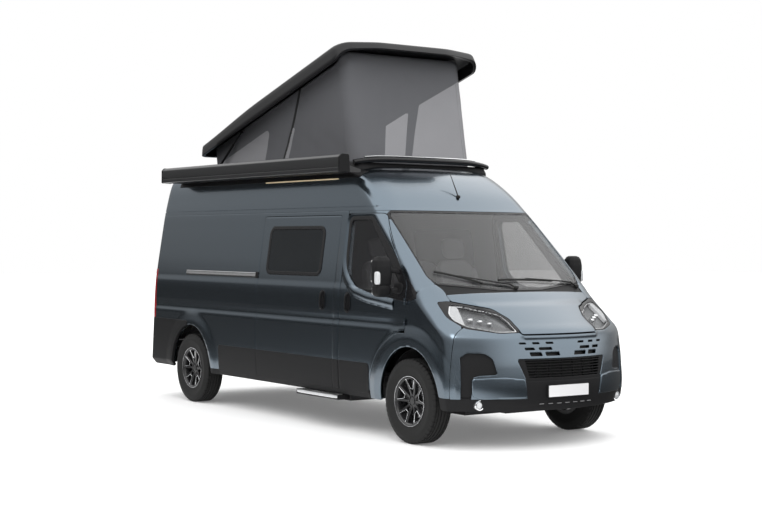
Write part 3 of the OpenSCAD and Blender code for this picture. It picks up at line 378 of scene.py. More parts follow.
def hemmed(co, no, polys, thick, roll=0.0022, lift=0.0):
    """A closed panel: the skin, its edge rolled over in three steps, and an inner skin at a depth of
    thick."""
    co = co + no*lift
    edge = rim(polys, len(co))
    out = np.zeros_like(co)
    side = np.cross(co[edge[:, 1]] - co[edge[:, 0]], no[edge[:, 0]])
    side /= np.linalg.norm(side, axis=1, keepdims=True) + 1e-12
    np.add.at(out, edge[:, 0], side)
    np.add.at(out, edge[:, 1], side)
    on = np.unique(edge)
    out[on] /= np.linalg.norm(out[on], axis=1, keepdims=True) + 1e-12
    number = np.zeros(len(co), int)
    number[on] = np.arange(len(on))
    layers, faces, last = [co], list(polys), edge
    for step, down in ((0.7, 0.3), (1.0, 1.0)):
        base = sum(len(k) for k in layers)
        layers.append(co[on] + out[on]*roll*step - no[on]*roll*down)
        now = base + number[edge]
        faces.append(np.stack([last[:, 1], last[:, 0], now[:, 0], now[:, 1]], -1))
        last = now
    base = sum(len(k) for k in layers)
    layers.append(co - no*thick)
    layers[-1][on] += out[on]*roll
    now = base + edge
    faces.append(np.stack([last[:, 1], last[:, 0], now[:, 0], now[:, 1]], -1))
    inner = [base + p[:, ::-1] for p in polys]
    return np.concatenate(layers), faces, inner


print("the disc's rim:", len(rim(disc[2], len(disc[0]))), "edges")


# %% [markdown]
# All pieces reach Blender the same way. foreach_set fills a mesh from whole arrays, faster than a list
# of faces does, and polygons of three to six sides may lie side by side. Then the piece is set to ride on
# its body, and it takes over from the CAD nodes that it stands for.

# %% meshes
def build(name, co, faces, body, material, inner=(), lining=None, node=None, sharp=40, slot=None):
    """A mesh from vertices and polygons of any number of sides, riding on a body."""
    faces = list(faces) + list(inner)
    back = sum(len(f) for f in inner)
    loops = np.concatenate([f.ravel() for f in faces]).astype(np.int32)
    sizes = np.concatenate([np.full(len(f), f.shape[1]) for f in faces])
    me = bpy.data.meshes.new(name)
    me.vertices.add(len(co))
    me.vertices.foreach_set("co", np.ascontiguousarray(co, np.float32).ravel())
    me.loops.add(len(loops))
    me.loops.foreach_set("vertex_index", loops)
    me.polygons.add(len(sizes))
    me.polygons.foreach_set("loop_start", np.concatenate([[0], np.cumsum(sizes)[:-1]]).astype(np.int32))
    me.materials.append(material)
    if lining:
        me.materials.append(lining)
        me.polygons.foreach_set("material_index",
                                np.repeat([0, 1], [len(sizes) - back, back]).astype(np.int32))
    me.update(calc_edges=True)
    me.validate()
    me.shade_smooth()
    me.set_sharp_from_angle(angle=np.radians(sharp))
    obj = bpy.data.objects.new(name, me)
    bpy.context.scene.collection.objects.link(obj)
    if body:
        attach(obj, body)
    if node:
        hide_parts(*([node] if isinstance(node, str) else node))
    return obj


def panel(name, surface, us, vs, zone, body, material, thick=0.045, lift=0.0, lining=None, node=None,
          roll=0.0022, slot=None):
    """One pressed panel: cut, hemmed and built."""
    co, faces, inner = hemmed(*cut(surface, us, vs, zone), thick, roll, lift)
    return build(name, co, faces, body, material, inner, lining, node, slot=slot)


def steps(low, high, size):
    """Even places from low to high, about size apart."""
    return np.linspace(low, high, max(2, int(round((high - low)/size)) + 1))


def on_side(s):
    """The side's surface for one hand."""
    return lambda x, z: flank(x, z, s)


def on_tail(s):
    """The tail's surface for one hand."""
    return lambda u, z: tail(u, z, s)


print("columns along a metre of side:", len(steps(0, 1, 0.02)))

# %% [markdown]
# Some pieces aren't cut from the body. A lathe turns a profile about an axis, a sweep carries a ring
# of points along a path, and a pillow is a box whose faces swell: the sum of its three coordinates,
# each taken to a power, is one.

# %% turned, swept and swollen pieces
def grid_faces(n, m, wrap_u=False, wrap_v=False, base=0):
    """Quads over a grid of n by m vertices, closed where it wraps."""
    i, j = np.meshgrid(np.arange(n if wrap_u else n - 1), np.arange(m if wrap_v else m - 1), indexing="ij")
    i, j = i.ravel(), j.ravel()
    k, h = (i + 1) % n, (j + 1) % m
    return base + np.stack([i*m + j, k*m + j, k*m + h, i*m + h], -1)


def lathe(profile, n=96, axis=1, centre=(0, 0, 0), closed=True):
    """Turns a profile of [radius, along] about an axis through centre."""
    p = np.asarray(profile, float)
    a = np.linspace(0, 2*np.pi, n, endpoint=False)
    ring = np.stack([np.cos(a)[:, None]*p[:, 0], np.broadcast_to(p[:, 1], (n, len(p))),
                     np.sin(a)[:, None]*p[:, 0]], -1)
    order = {1: [0, 1, 2], 0: [1, 2, 0], 2: [0, 2, 1]}[axis]
    co = ring[..., order].reshape(-1, 3) + np.array(centre)
    f = grid_faces(n, len(p), True, closed)
    return co, [f if axis != 2 else f[:, ::-1]]


def sweep(path, size, n=12, closed=False, caps=True):
    """A round or flattened bar along a path. size is one radius, or [across, upright] at each point."""
    p = np.asarray(path, float)
    size = np.asarray(size, float)
    if size.ndim < 2:
        size = np.broadcast_to(size, (len(p), 2))
    t = np.roll(p, -1, 0) - np.roll(p, 1, 0) if closed else np.gradient(p, axis=0)
    t /= np.linalg.norm(t, axis=1, keepdims=True)
    ref = np.where(np.abs(t[:, 2:3]) > 0.95, np.array([1.0, 0, 0]), np.array([0, 0, 1.0]))
    side = np.cross(t, ref)
    side /= np.linalg.norm(side, axis=1, keepdims=True)
    up = np.cross(side, t)
    a = np.linspace(0, 2*np.pi, n, endpoint=False)
    wide, tall = np.cos(a)*size[:, :1], np.sin(a)*size[:, 1:]
    co = p[:, None] + side[:, None]*wide[..., None] + up[:, None]*tall[..., None]
    faces = [grid_faces(len(p), n, closed, True)]
    if caps and not closed:
        faces += [np.arange(n)[None, ::-1], (len(p) - 1)*n + np.arange(n)[None]]
    return co.reshape(-1, 3), faces


def pillow(low, high, power=5.0, n=28):
    """A swollen box between two corners. A high power keeps it square, two makes it an ellipsoid."""
    low, high = np.array(low, float), np.array(high, float)
    u, v = np.meshgrid(np.linspace(-np.pi, np.pi, 2*n, endpoint=False), np.linspace(-np.pi/2, np.pi/2, n),
                       indexing="ij")
    d = np.stack([np.cos(v)*np.cos(u), np.cos(v)*np.sin(u), np.sin(v)], -1)
    d = d/(np.abs(d)**power).sum(-1, keepdims=True)**(1/power)
    return ((low + high)/2 + d*(high - low)/2).reshape(-1, 3), [grid_faces(2*n, n, True)]


def plate(profile, path_axis, low, high):
    """A flat outline pushed along an axis, with both ends closed."""
    p = np.asarray(profile, float)
    n = len(p)
    ends = [np.insert(p, path_axis, c, axis=1) for c in (low, high)]
    i = np.arange(n)
    sides = np.stack([i, (i + 1) % n, n + (i + 1) % n, n + i], -1)
    return np.concatenate(ends), [sides, i[None, ::-1], n + i[None]]


def together(*pieces):
    """Several pieces as one mesh."""
    co, faces, base = [], [], 0
    for c, fs in pieces:
        co.append(c)
        faces += [f + base for f in fs]
        base += len(c)
    return np.concatenate(co), faces


print("a pillow has", len(pillow([0, 0, 0], [1, 1, 1])[0]), "points")

# %% [markdown]
# ## Finishes
# Three effects are shared as node groups: flakes for the metallic paint, a moulded grain for plastic
# and rubber, and a weave for cloth. Each is a texture on object coordinates, so it stays on the piece.

# %% effect groups
TWO_COLOURS = [("First", "NodeSocketColor", (0, 0, 0, 1)), ("Second", "NodeSocketColor", (1, 1, 1, 1))]


def group(name, inputs, outputs):
    """An empty shader group with its sockets."""
    g = bpy.data.node_groups.new(name, "ShaderNodeTree")
    for label, kind, value in inputs:
        g.interface.new_socket(label, in_out="INPUT", socket_type=kind).default_value = value
    for label, kind in outputs:
        g.interface.new_socket(label, in_out="OUTPUT", socket_type=kind)
    return g, g.nodes.new("NodeGroupInput"), g.nodes.new("NodeGroupOutput")


def wire(g, *links):
    """Links pairs of sockets."""
    for a, b in links:
        g.links.new(a, b)


def mix_node(g):
    """A mix of two colours. Its sockets are 0 for the factor, 6 and 7 for the colours."""
    node = g.nodes.new("ShaderNodeMix")
    node.data_type = "RGBA"
    return node


def speckle_group():
    """Two colours mixed by fine noise, for flakes in paint and wear on rubber."""
    g, i, o = group("speckle", TWO_COLOURS + [("Scale", "NodeSocketFloat", 300)],
                    [("Colour", "NodeSocketColor")])
    at, noise = (g.nodes.new("ShaderNode" + k) for k in ("TexCoord", "TexNoise"))
    mix = mix_node(g)
    wire(g, (at.outputs["Object"], noise.inputs["Vector"]), (i.outputs["Scale"], noise.inputs["Scale"]),
         (noise.outputs["Fac"], mix.inputs[0]), (i.outputs["First"], mix.inputs[6]),
         (i.outputs["Second"], mix.inputs[7]), (mix.outputs[2], o.inputs["Colour"]))
    return g


def grain_group():
    """A bumped normal from fine noise, as of grained plastic."""
    g, i, o = group("grain", [("Scale", "NodeSocketFloat", 300), ("Depth", "NodeSocketFloat", 0.0002)],
                    [("Normal", "NodeSocketVector")])
    at, noise, bump = (g.nodes.new("ShaderNode" + k) for k in ("TexCoord", "TexNoise", "Bump"))
    wire(g, (at.outputs["Object"], noise.inputs["Vector"]), (i.outputs["Scale"], noise.inputs["Scale"]),
         (noise.outputs["Fac"], bump.inputs["Height"]), (i.outputs["Depth"], bump.inputs["Distance"]),
         (bump.outputs["Normal"], o.inputs["Normal"]))
    return g


def weave_group():
    """Crossing threads: two waves at right angles, as a colour and a bumped normal."""
    g, i, o = group("weave", TWO_COLOURS + [("Scale", "NodeSocketFloat", 100)],
                    [("Colour", "NodeSocketColor"), ("Normal", "NodeSocketVector")])
    at, bump, both_ways = (g.nodes.new("ShaderNode" + k) for k in ("TexCoord", "Bump", "Math"))
    mix = mix_node(g)
    waves = [g.nodes.new("ShaderNodeTexWave") for _ in range(2)]
    waves[0].bands_direction, waves[1].bands_direction = "DIAGONAL", "Z"
    both_ways.operation = "MULTIPLY"
    bump.inputs["Distance"].default_value = 0.0004
    for k, w in enumerate(waves):
        wire(g, (at.outputs["Object"], w.inputs["Vector"]), (i.outputs["Scale"], w.inputs["Scale"]),
             (w.outputs["Fac"], both_ways.inputs[k]))
    wire(g, (both_ways.outputs[0], mix.inputs[0]), (i.outputs["First"], mix.inputs[6]),
         (i.outputs["Second"], mix.inputs[7]), (both_ways.outputs[0], bump.inputs["Height"]),
         (mix.outputs[2], o.inputs["Colour"]), (bump.outputs["Normal"], o.inputs["Normal"]))
    return g


SPECKLE, GRAIN, WEAVE = speckle_group(), grain_group(), weave_group()
print("effect groups:", len(bpy.data.node_groups))


# %% [markdown]
# Each finish is one Principled shader. The paint is a metal under a clear coat, the plastics are dull
# with a weak gloss, and the tinted glass is an opaque dark gloss, because by day nothing shows through
# it. Two tones that differ a little keep large faces from looking flat.

# %% finishes
def material(name, colour, rough, second=None, scale=300, grain=None, weave=None, **sockets):
    """A Principled finish. second adds speckles, grain a moulded surface and weave threads."""
    m = bpy.data.materials.new(name)
    m.use_nodes = True
    t, shader = m.node_tree, m.node_tree.nodes["Principled BSDF"]
    shader.inputs["Base Color"].default_value = (*colour, 1)
    shader.inputs["Roughness"].default_value = rough
    for label, value in sockets.items():
        shader.inputs[label.replace("_", " ")].default_value = value
    for effect, tree in (("speckle", SPECKLE if second else None), ("grain", GRAIN if grain else None),
                         ("weave", WEAVE if weave else None)):
        if tree:
            node = t.nodes.new("ShaderNodeGroup")
            node.node_tree = tree
            if effect != "grain":
                node.inputs["First"].default_value = (*colour, 1)
                node.inputs["Second"].default_value = (*(second or weave[1]), 1)
                node.inputs["Scale"].default_value = scale if effect == "speckle" else weave[0]
                t.links.new(node.outputs["Colour"], shader.inputs["Base Color"])
            else:
                node.inputs["Scale"].default_value, node.inputs["Depth"].default_value = grain
            if "Normal" in node.outputs:
                t.links.new(node.outputs["Normal"], shader.inputs["Normal"])
    return m


PAINT = material("paint", (0.108, 0.137, 0.166), 0.22, second=(0.134, 0.168, 0.198), scale=900,
                 Metallic=1.0, Coat_Weight=0.5, Coat_Roughness=0.03)
BLACK = material("black_plastic", (0.0085, 0.0085, 0.009), 0.5, second=(0.014, 0.014, 0.015), scale=200,
                 grain=(500, 0.0003), Specular_IOR_Level=0.14)
GLOSS = material("gloss_black", (0.009, 0.009, 0.010), 0.2, second=(0.014, 0.014, 0.015), scale=60,
                 Specular_IOR_Level=0.28)
RUBBER = material("seal_rubber", (0.014, 0.014, 0.014), 0.65, second=(0.022, 0.022, 0.022), scale=120,
                  Specular_IOR_Level=0.35)
LINING = material("lining", (0.38, 0.39, 0.40), 0.8, second=(0.46, 0.46, 0.47), scale=160,
                  grain=(300, 0.0004))
DARK_LINING = material("dark_lining", (0.07, 0.07, 0.075), 0.7, second=(0.09, 0.09, 0.095), scale=160,
                       grain=(300, 0.0004))
CLEAR = material("clear_glass", (0.028, 0.030, 0.032), 0.02, second=(0.033, 0.035, 0.037), scale=2,
                 Alpha=0.3, Specular_IOR_Level=1.0, Coat_Weight=0.8, Coat_Roughness=0.02)
TINTED = material("tinted_glass", (0.012, 0.014, 0.016), 0.05, second=(0.016, 0.018, 0.020), scale=3,
                  Specular_IOR_Level=0.1)
SMOKED = material("door_glass", (0.014, 0.014, 0.016), 0.03, second=(0.016, 0.016, 0.018), scale=2,
                  Alpha=0.5, Specular_IOR_Level=0.36)
LENS = material("lamp_lens", (0.045, 0.047, 0.05), 0.03, second=(0.06, 0.062, 0.065), scale=20, Alpha=0.12,
                Specular_IOR_Level=0.9)
MIRROR = material("bright", (0.78, 0.79, 0.80), 0.15, second=(0.86, 0.87, 0.88), scale=80, Metallic=1.0)
REFLECTOR = material("reflector", (0.07, 0.075, 0.08), 0.35, second=(0.38, 0.39, 0.40), scale=260,
                     Metallic=0.85, grain=(260, 0.004))
LIGHT_BAR = material("light_bar", (0.56, 0.57, 0.58), 0.2, second=(0.64, 0.65, 0.66), scale=40,
                     Emission_Color=(0.9, 0.95, 1, 1), Emission_Strength=0.05)
RED = material("red_lens", (0.24, 0.010, 0.014), 0.1, second=(0.34, 0.014, 0.018), scale=120, Coat_Weight=0.5)
ALU = material("step_alu", (0.76, 0.77, 0.78), 0.3, second=(0.86, 0.87, 0.88), scale=300, Metallic=1.0)
CHASSIS = material("chassis", (0.018, 0.018, 0.019), 0.65, second=(0.030, 0.030, 0.032), scale=40,
                   Specular_IOR_Level=0.4)
STEEL = material("steel", (0.50, 0.50, 0.51), 0.42, second=(0.60, 0.60, 0.61), scale=60, Metallic=1.0)
WHITE = material("plate_white", (0.80, 0.80, 0.81), 0.4, second=(0.84, 0.84, 0.845), scale=50)
BOARD = material("furniture_board", (0.62, 0.50, 0.37), 0.45, second=(0.72, 0.61, 0.48), scale=14)
FABRIC = material("seat_fabric", (0.24, 0.24, 0.247), 0.9, weave=(260, (0.36, 0.36, 0.37)), Sheen_Weight=0.2)
CUSHION = material("cushion_fabric", (0.36, 0.36, 0.37), 0.92, weave=(220, (0.54, 0.54, 0.55)),
                   Sheen_Weight=0.3)
CASE = material("awning_case", (0.014, 0.0145, 0.0155), 0.34, second=(0.019, 0.0195, 0.0205), scale=500,
                Specular_IOR_Level=0.65)
CLOTH = material("tent_cloth", (0.116, 0.118, 0.127), 0.85, weave=(150, (0.142, 0.144, 0.154)),
                 Specular_IOR_Level=0.3)
# A paler tent cloth. On the front panels it is painted light shining through the cloth from behind, on the
# rear patches painted light falling below the shell's shade, and on the bindings their paler tone.
PALE_AND_LIT_CLOTH = material("tent_pale_and_lit_cloth", (0.265, 0.265, 0.278), 0.8, weave=(150, (0.318, 0.318, 0.332)),
                       Specular_IOR_Level=0.3)
SHELL = material("shell_gloss", (0.009, 0.009, 0.010), 0.35, second=(0.013, 0.013, 0.014), scale=120,
                 Specular_IOR_Level=0.34)
TYRE = material("tyre", (0.008, 0.008, 0.008), 0.7, second=(0.014, 0.014, 0.014), scale=90,
                grain=(240, 0.0004), Specular_IOR_Level=0.28)
RIM = material("rim_black", (0.009, 0.009, 0.010), 0.25, second=(0.014, 0.014, 0.015), scale=200,
               Specular_IOR_Level=0.6)
TURNED = material("rim_turned", (0.80, 0.81, 0.83), 0.22, second=(0.88, 0.89, 0.91), scale=600, Metallic=1.0)
GLOW = material("light_strip", (0.75, 0.62, 0.42), 0.4, second=(0.8, 0.66, 0.46), scale=60,
                Emission_Color=(1, 0.8, 0.5, 1), Emission_Strength=0.25)

# %% finishes of the CAD nodes that stay
for names, finish in (("floor_frame front_subframe rear_axle_beam engine", CHASSIS),
                      ("arch_liners roof_frame dashboard strut_barrels strut_rods", BLACK),
                      ("knuckle_left knuckle_right hinge_pins exhaust", STEEL), ("furniture", BOARD),
                      ("step_tread", BLACK)):
    for name in names.split():
        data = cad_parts[name].data
        data.materials.clear()
        data.materials.append(finish)
print("finishes:", len(bpy.data.materials))

# %% [markdown]
# ## Doors and walls
# The outlines are those of the CAD: doors and windows in side view, bonnet, lamps and windscreen in
# front view. Each door keeps half a gap from its line, and a rubber seal behind the line closes the
# view through the gap. The right side has the sliding door, the left side a plain wall with a window.

# %% outlines of doors and windows
SIDES = ((-1, "right"), (1, "left"))
HALF_GAP, DOOR_ARC, ARCH_WIDE, ARCH_TALL = 0.0035, 0.62, 0.435, 0.478
wheel_arc = [[FRONT_AXLE + DOOR_ARC*np.cos(a), AXLE_Z + DOOR_ARC*np.sin(a)]
             for a in np.radians(np.arange(96, 175, 6.5))]
CAB_DOOR = side_view([[0.935, 0.40, 0.03], [0.935, 2.02, 0.06], [1.49, 2.02, 0.09], [1.982, 1.395, 0.06],
                      [1.99, 1.20]] + wheel_arc + [[1.441, 0.40]])
CAB_WINDOW = side_view([[1.02, 1.41, 0.2], [0.985, 1.972, 0.06], [1.32, 1.972, 0.09], [1.93, 1.35, 0.04],
                        [1.90, 1.313, 0.03], [1.265, 1.31, 0.06]])
SURROUND = side_view([[0.985, 1.50, 0.3], [0.960, 1.995, 0.07], [1.335, 1.995, 0.10], [1.78, 1.62],
                      [2.13, 1.30], [2.0, 1.235], [1.90, 1.245, 0.1], [1.40, 1.302, 0.5],
                      [1.18, 1.35, 0.1]])
SLIDE_DOOR = side_view([[-0.59, 0.375, 0.025], [-0.59, 2.005, 0.025], [0.825, 2.005, 0.025],
                        [0.825, 0.375, 0.025]])
SLIDE_WINDOW = side_view([[-0.44, 1.44, 0.07], [-0.44, 1.895, 0.07], [0.56, 1.895, 0.07], [0.56, 1.44, 0.07]])
REAR_DOOR = both(front_view([[0.0049, 0.62, 0.012], [0.0049, 2.035, 0.012], [0.793, 2.035, 0.06],
                             [0.868, 1.50, 0.2], [0.868, 0.62, 0.012]]), slab(0, -9, -2.75))
REAR_WINDOW = front_view([[0.13, 1.42, 0.05], [0.13, 1.86, 0.05], [0.66, 1.86, 0.05], [0.69, 1.42, 0.05]])
TAIL_LAMP = both(front_view([[0.887, 0.892, 0.02], [0.887, 1.438, 0.02], [1.2, 1.438], [1.2, 0.892]]),
                 slab(0, -9, -2.865))


def arch(axle):
    """A wheel arch: half an ellipse above the axle and straight sides below it."""
    def zone(p):
        across = (p[..., 0] - axle)/ARCH_WIDE
        up = np.clip((p[..., 2] - AXLE_Z)/ARCH_TALL, 0, None)
        return (np.hypot(across, up) - 1)*0.44
    return zone


ARCHES = [arch(FRONT_AXLE + 0.008), arch(REAR_AXLE)]
print("the front arch at the axle's height:", ARCHES[0](np.array([FRONT_AXLE, 1.0, AXLE_Z])).round(3))

# %% zones of the walls
RISE = steps(0.33, 2.06, 0.024)
WALL_RUN = np.concatenate([steps(-0.27, -0.115, 0.02), steps(-0.11, 0, 0.012), steps(0.02, 4.42, 0.036)])
TAIL_RUN = np.concatenate([steps(-0.15, -0.115, 0.012), steps(-0.11, 0, 0.01), steps(0.01, 0.10, 0.012)])
sill = both(slab(0, -1.6, 1.437), slab(2, 0.347, 0.397))
wall = both(slab(0, -9, 0.9275), slab(2, 0.40, 2.043))
wall = without(wall, ARCHES[1], grown(REAR_DOOR, HALF_GAP), grown(TAIL_LAMP, 0.003),
               grown(CAB_DOOR, HALF_GAP))
print("wall grid:", len(WALL_RUN), "by", len(RISE))

# %% [markdown]
# The walls run round the rear corner, so they are cut from the tail's surface, and the doors from the
# side's. A pane lies a few millimetres under the sheet or above it, as bonded glass does, and each cab
# and rear door rides on its own body.

# %% side walls and their doors
panel("wall_right", on_tail(-1), WALL_RUN, RISE, without(wall, grown(SLIDE_DOOR, HALF_GAP)), "van", PAINT,
      lining=LINING, node="side_wall_right", slot="paint")
panel("wall_left", on_tail(1), WALL_RUN, RISE, without(wall, SLIDE_WINDOW), "van", PAINT, lining=LINING,
      node="side_wall_left", slot="paint")
panel("slide_door", on_side(-1), steps(-0.62, 0.86, 0.021), RISE,
      without(grown(SLIDE_DOOR, -HALF_GAP), SLIDE_WINDOW), "van", PAINT, lining=LINING,
      node="sliding_door", slot="paint")
for s, hand in SIDES:
    panel("door_" + hand, on_side(s), steps(0.91, 2.02, 0.02), RISE,
          without(grown(CAB_DOOR, -HALF_GAP), CAB_WINDOW), "cab_door_" + hand, PAINT,
          lining=DARK_LINING, node="cab_door_" + hand, slot="paint")
    panel("door_glass_" + hand, on_side(s), steps(0.98, 1.96, 0.02), steps(1.27, 2.0, 0.02),
          grown(CAB_WINDOW, -0.0005), "cab_door_" + hand, SMOKED, thick=0.005, lift=-0.006, roll=0.0005,
          node="cab_glass_" + hand, slot="clear_glass")
    panel("door_glass_edge_" + hand, on_side(s), steps(0.93, 2.0, 0.014), steps(1.21, 2.02, 0.014),
          both(without(SURROUND, grown(CAB_WINDOW, -0.012)), grown(CAB_DOOR, -0.009)), "cab_door_" + hand,
          GLOSS, thick=0.004, lift=0.0015, roll=0.001)
    panel("side_window_" + hand, on_side(s), steps(-0.47, 0.59, 0.02), steps(1.41, 1.93, 0.02),
          grown(SLIDE_WINDOW, -0.001), "van", TINTED, thick=0.006, lift=0.002, roll=0.002,
          node="side_windows" if s < 0 else None, slot="tinted_glass")
    panel("side_window_frame_" + hand, on_side(s), steps(-0.47, 0.59, 0.012), steps(1.41, 1.93, 0.012),
          band(SLIDE_WINDOW, -0.02, 0.012), "van", GLOSS, thick=0.006, lift=0.006, roll=0.003)
    panel("door_seal_" + hand, on_side(s), steps(0.88, 2.06, 0.015), steps(0.36, 2.06, 0.015),
          both(band(CAB_DOOR, -0.02, 0.016), slab(2, 0.36, 2.04)), "van", RUBBER, thick=0.012, lift=-0.047,
          roll=0.002)
    panel("rear_door_" + hand, on_tail(s), steps(-1.04, -0.16, 0.02), steps(0.60, 2.06, 0.02),
          without(grown(REAR_DOOR, -0.0005), REAR_WINDOW), "rear_door_" + hand, PAINT, lining=LINING,
          node="rear_door_" + hand, slot="paint")
    panel("rear_glass_" + hand, on_tail(s), steps(-0.94, -0.28, 0.02), steps(1.39, 1.89, 0.02),
          both(REAR_WINDOW, slab(0, -9, -2.7)), "rear_door_" + hand, TINTED, thick=0.006, lift=0.001,
          roll=0.0015, node="rear_glass_" + hand, slot="tinted_glass")
    panel("tail_lamp_" + hand, on_tail(s), TAIL_RUN, steps(0.87, 1.46, 0.012), TAIL_LAMP, "van", RED,
          thick=0.04, lift=0.003, roll=0.004, node="tail_lamps" if s < 0 else None, slot="red_lens")
    panel("sill_" + hand, on_side(s), steps(-1.65, 1.46, 0.02), steps(0.33, 0.42, 0.01),
          without(sill, *ARCHES), "van", BLACK, lift=0.003, roll=0.004)
panel("slide_seal", on_side(-1), steps(-0.62, 0.86, 0.015), steps(0.345, 2.04, 0.015),
      band(SLIDE_DOOR, -0.018, 0.018), "van", RUBBER, thick=0.012, lift=-0.047, roll=0.002)

# %% [markdown]
# ## The front
# Wings, bonnet, bumper and windscreen frame are cut from the nose, which runs round both corners. The
# bonnet's rear edge is cut upright along an arc in plan, so that it can rise past the windscreen.

# %% outlines of the front
BONNET_REAR, BONNET_ARC = 2.405, 3.3


def bonnet_rear(p):
    """How far a place lies behind the bonnet's rear edge, an arc in plan."""
    return BONNET_REAR - BONNET_ARC + np.sqrt(BONNET_ARC**2 - p[..., 1]**2) - p[..., 0]


SCREEN = front_view([[-0.3, 1.338], [0.25, 1.340, 0.5], [0.872, 1.398, 0.09], [0.845, 2.0435, 0.05],
                     [-0.3, 2.0435]])
BONNET = both(front_view([[-0.3, 0.985], [0.425, 0.985, 0.02], [0.421, 1.105, 0.05], [0.50, 1.19, 0.09],
                          [0.795, 1.2525, 0.02], [0.79, 1.345], [0.785, 1.40], [-0.3, 1.40]]), bonnet_rear)
LAMP = both(front_view([[0.434, 0.996, 0.01], [0.430, 1.104, 0.05], [0.507, 1.182, 0.08],
                        [0.825, 1.249, 0.03], [0.905, 1.243, 0.02], [0.915, 1.116, 0.06],
                        [0.84, 1.03, 0.06], [0.60, 0.990, 0.4]]), slab(0, 2.28, 9))
GRILLE = front_view([[-0.3, 0.775], [0.50, 0.775, 0.02], [0.42, 0.585, 0.02], [-0.3, 0.585]])
PLATE_PANEL = front_view([[-0.3, 0.60], [0.432, 0.60], [0.405, 0.42], [-0.3, 0.42]])
VENT = front_view([[0.655, 0.645, 0.02], [0.69, 0.785, 0.06], [0.75, 0.826, 0.05], [0.87, 0.832, 0.04],
                   [0.925, 0.79, 0.04], [0.925, 0.42], [0.85, 0.42], [0.838, 0.62, 0.02],
                   [0.80, 0.636, 0.02]])
TUSK = front_view([[0.418, 0.455, 0.012], [0.442, 0.60, 0.012], [0.60, 0.618, 0.1], [0.845, 0.606, 0.02],
                   [0.84, 0.475, 0.03], [0.78, 0.447, 0.1]])
COWL = front_view([[-0.3, 1.2], [0.79, 1.2], [0.795, 1.345, 0.01], [0.862, 1.432, 0.02],
                   [0.84, 1.437, 0.02], [0.3, 1.385], [-0.3, 1.38]])
QUARTER = side_view([[1.60, 1.785], [1.78, 1.62], [2.118, 1.325, 0.03], [2.135, 1.268, 0.02],
                     [1.985, 1.232], [1.9, 1.3], [1.6, 1.7]])
# Air slots: height of the middle, half the height, inner and outer end.
SLOT_ROWS = ((0.905, 0.010, 0.132, 0.224), (0.905, 0.010, 0.271, 0.354), (0.905, 0.009, 0.396, 0.473),
             (0.858, 0.013, 0.152, 0.297), (0.858, 0.012, 0.323, 0.427), (0.811, 0.016, 0.075, 0.236),
             (0.811, 0.016, 0.256, 0.384))
SLANT, SLOT_ROUND = 0.012, 0.004
SLOTS = [front_view([[a, z - h, SLOT_ROUND], [b - SLANT, z - h, SLOT_ROUND], [b, z + h, SLOT_ROUND],
                     [a + SLANT, z + h, SLOT_ROUND]]) for z, h, a, b in SLOT_ROWS]
LOW_EDGE = slab(2, 0.1, 0.442)


def round_nose(side, corner, arc):
    """Columns round the nose: metres along the side, then cells round each corner and across the arc."""
    half = np.concatenate([np.linspace(0, 1, arc + 1), np.linspace(1, 2, corner + 1)[1:],
                           2 + steps(0, side, 0.02)[1:]])
    return np.concatenate([-half[:0:-1], half])


print("columns round the nose:", len(round_nose(0.1, 24, 90)), "and air slots:", 2*len(SLOTS))


# %% [markdown]
# Bonnet, wings and bumper share one surface, so that their edges meet: each zone leaves out the others,
# grown by the width of the gap. Behind the slots and the vents lies a dark backing.

# %% wings, bonnet and bumper
def wing_top(p):
    """How far a place lies above the wing, whose top edge rises to the pillar."""
    return p[..., 2] - np.clip(1.30 + 1.2*(p[..., 0] - 2.12), 1.30, 1.41)


wing = either(both(slab(0, 1.9935, 2.6125), slab(2, 0.445, 9), wing_top),
              both(wheel_room(FRONT_AXLE, 0.613), slab(2, 0.347, 0.96), slab(0, 1.3, 2.05)))
wing = without(both(wing, beyond(0.77)), ARCHES[0], QUARTER, SCREEN, COWL, grown(CAB_DOOR, HALF_GAP),
               grown(BONNET, 0.006), grown(LAMP, 0.004))
half_round = np.concatenate([np.linspace(0.78, 1, 14), np.linspace(1, 2, 25)[1:],
                             2 + steps(0, 1.25, 0.018)[1:]])
for s, hand in SIDES:
    panel("wing_" + hand, pressed, s*half_round, steps(0.33, 1.44, 0.018), wing, "van", PAINT, thick=0.03,
          lining=CHASSIS, node="front_wings" if s < 0 else None, slot="paint")
panel("bonnet_skin", pressed, round_nose(0.1, 24, 90), steps(0.97, 1.34, 0.0105), grown(BONNET, -0.001),
      "bonnet", PAINT, thick=0.022, lining=PAINT, node="bonnet", slot="paint")
bumper = without(both(slab(0, 2.6185, 9), slab(2, 0.42, 1.06)), grown(BONNET, 0.016), grown(LAMP, 0.004),
                 GRILLE, PLATE_PANEL, VENT, LOW_EDGE, *SLOTS)
panel("bumper_skin", pressed, round_nose(0.02, 22, 150), steps(0.41, 1.07, 0.0115), bumper, "van", PAINT,
      thick=0.03, lining=CHASSIS, node="front_bumper", slot="paint")
panel("bumper_bar", pressed, round_nose(0.02, 20, 120), steps(0.43, 0.63, 0.01), TUSK, "van", PAINT,
      thick=0.03, lift=0.010, lining=CHASSIS, roll=0.009)
panel("bumper_lip", pressed, round_nose(0.34, 20, 100), steps(0.33, 0.62, 0.011),
      without(either(both(LOW_EDGE, slab(2, 0.338, 9), slab(0, 2.35, 9)), PLATE_PANEL), GRILLE, ARCHES[0]),
      "van", BLACK, thick=0.03, lift=-0.002, roll=0.004)
panel("bumper_vents", pressed, round_nose(0.02, 20, 100), steps(0.40, 0.85, 0.012), grown(VENT, 0.006),
      "van", BLACK, thick=0.01, lift=-0.018)
panel("slot_backing", pressed, round_nose(0.02, 8, 60), steps(0.78, 0.93, 0.02),
      without(slab(2, 0.785, 0.93), beyond(0.48)), "van", RUBBER, thick=0.004, lift=-0.034)
print("bonnet, wings and bumper cut from", len(SECTIONS), "sections")

# %% [markdown]
# The windscreen is see-through and lies in its frame with a black printed edge. Below it the cowl
# carries the wipers, and beside it a black quarter panel runs down to the wing.

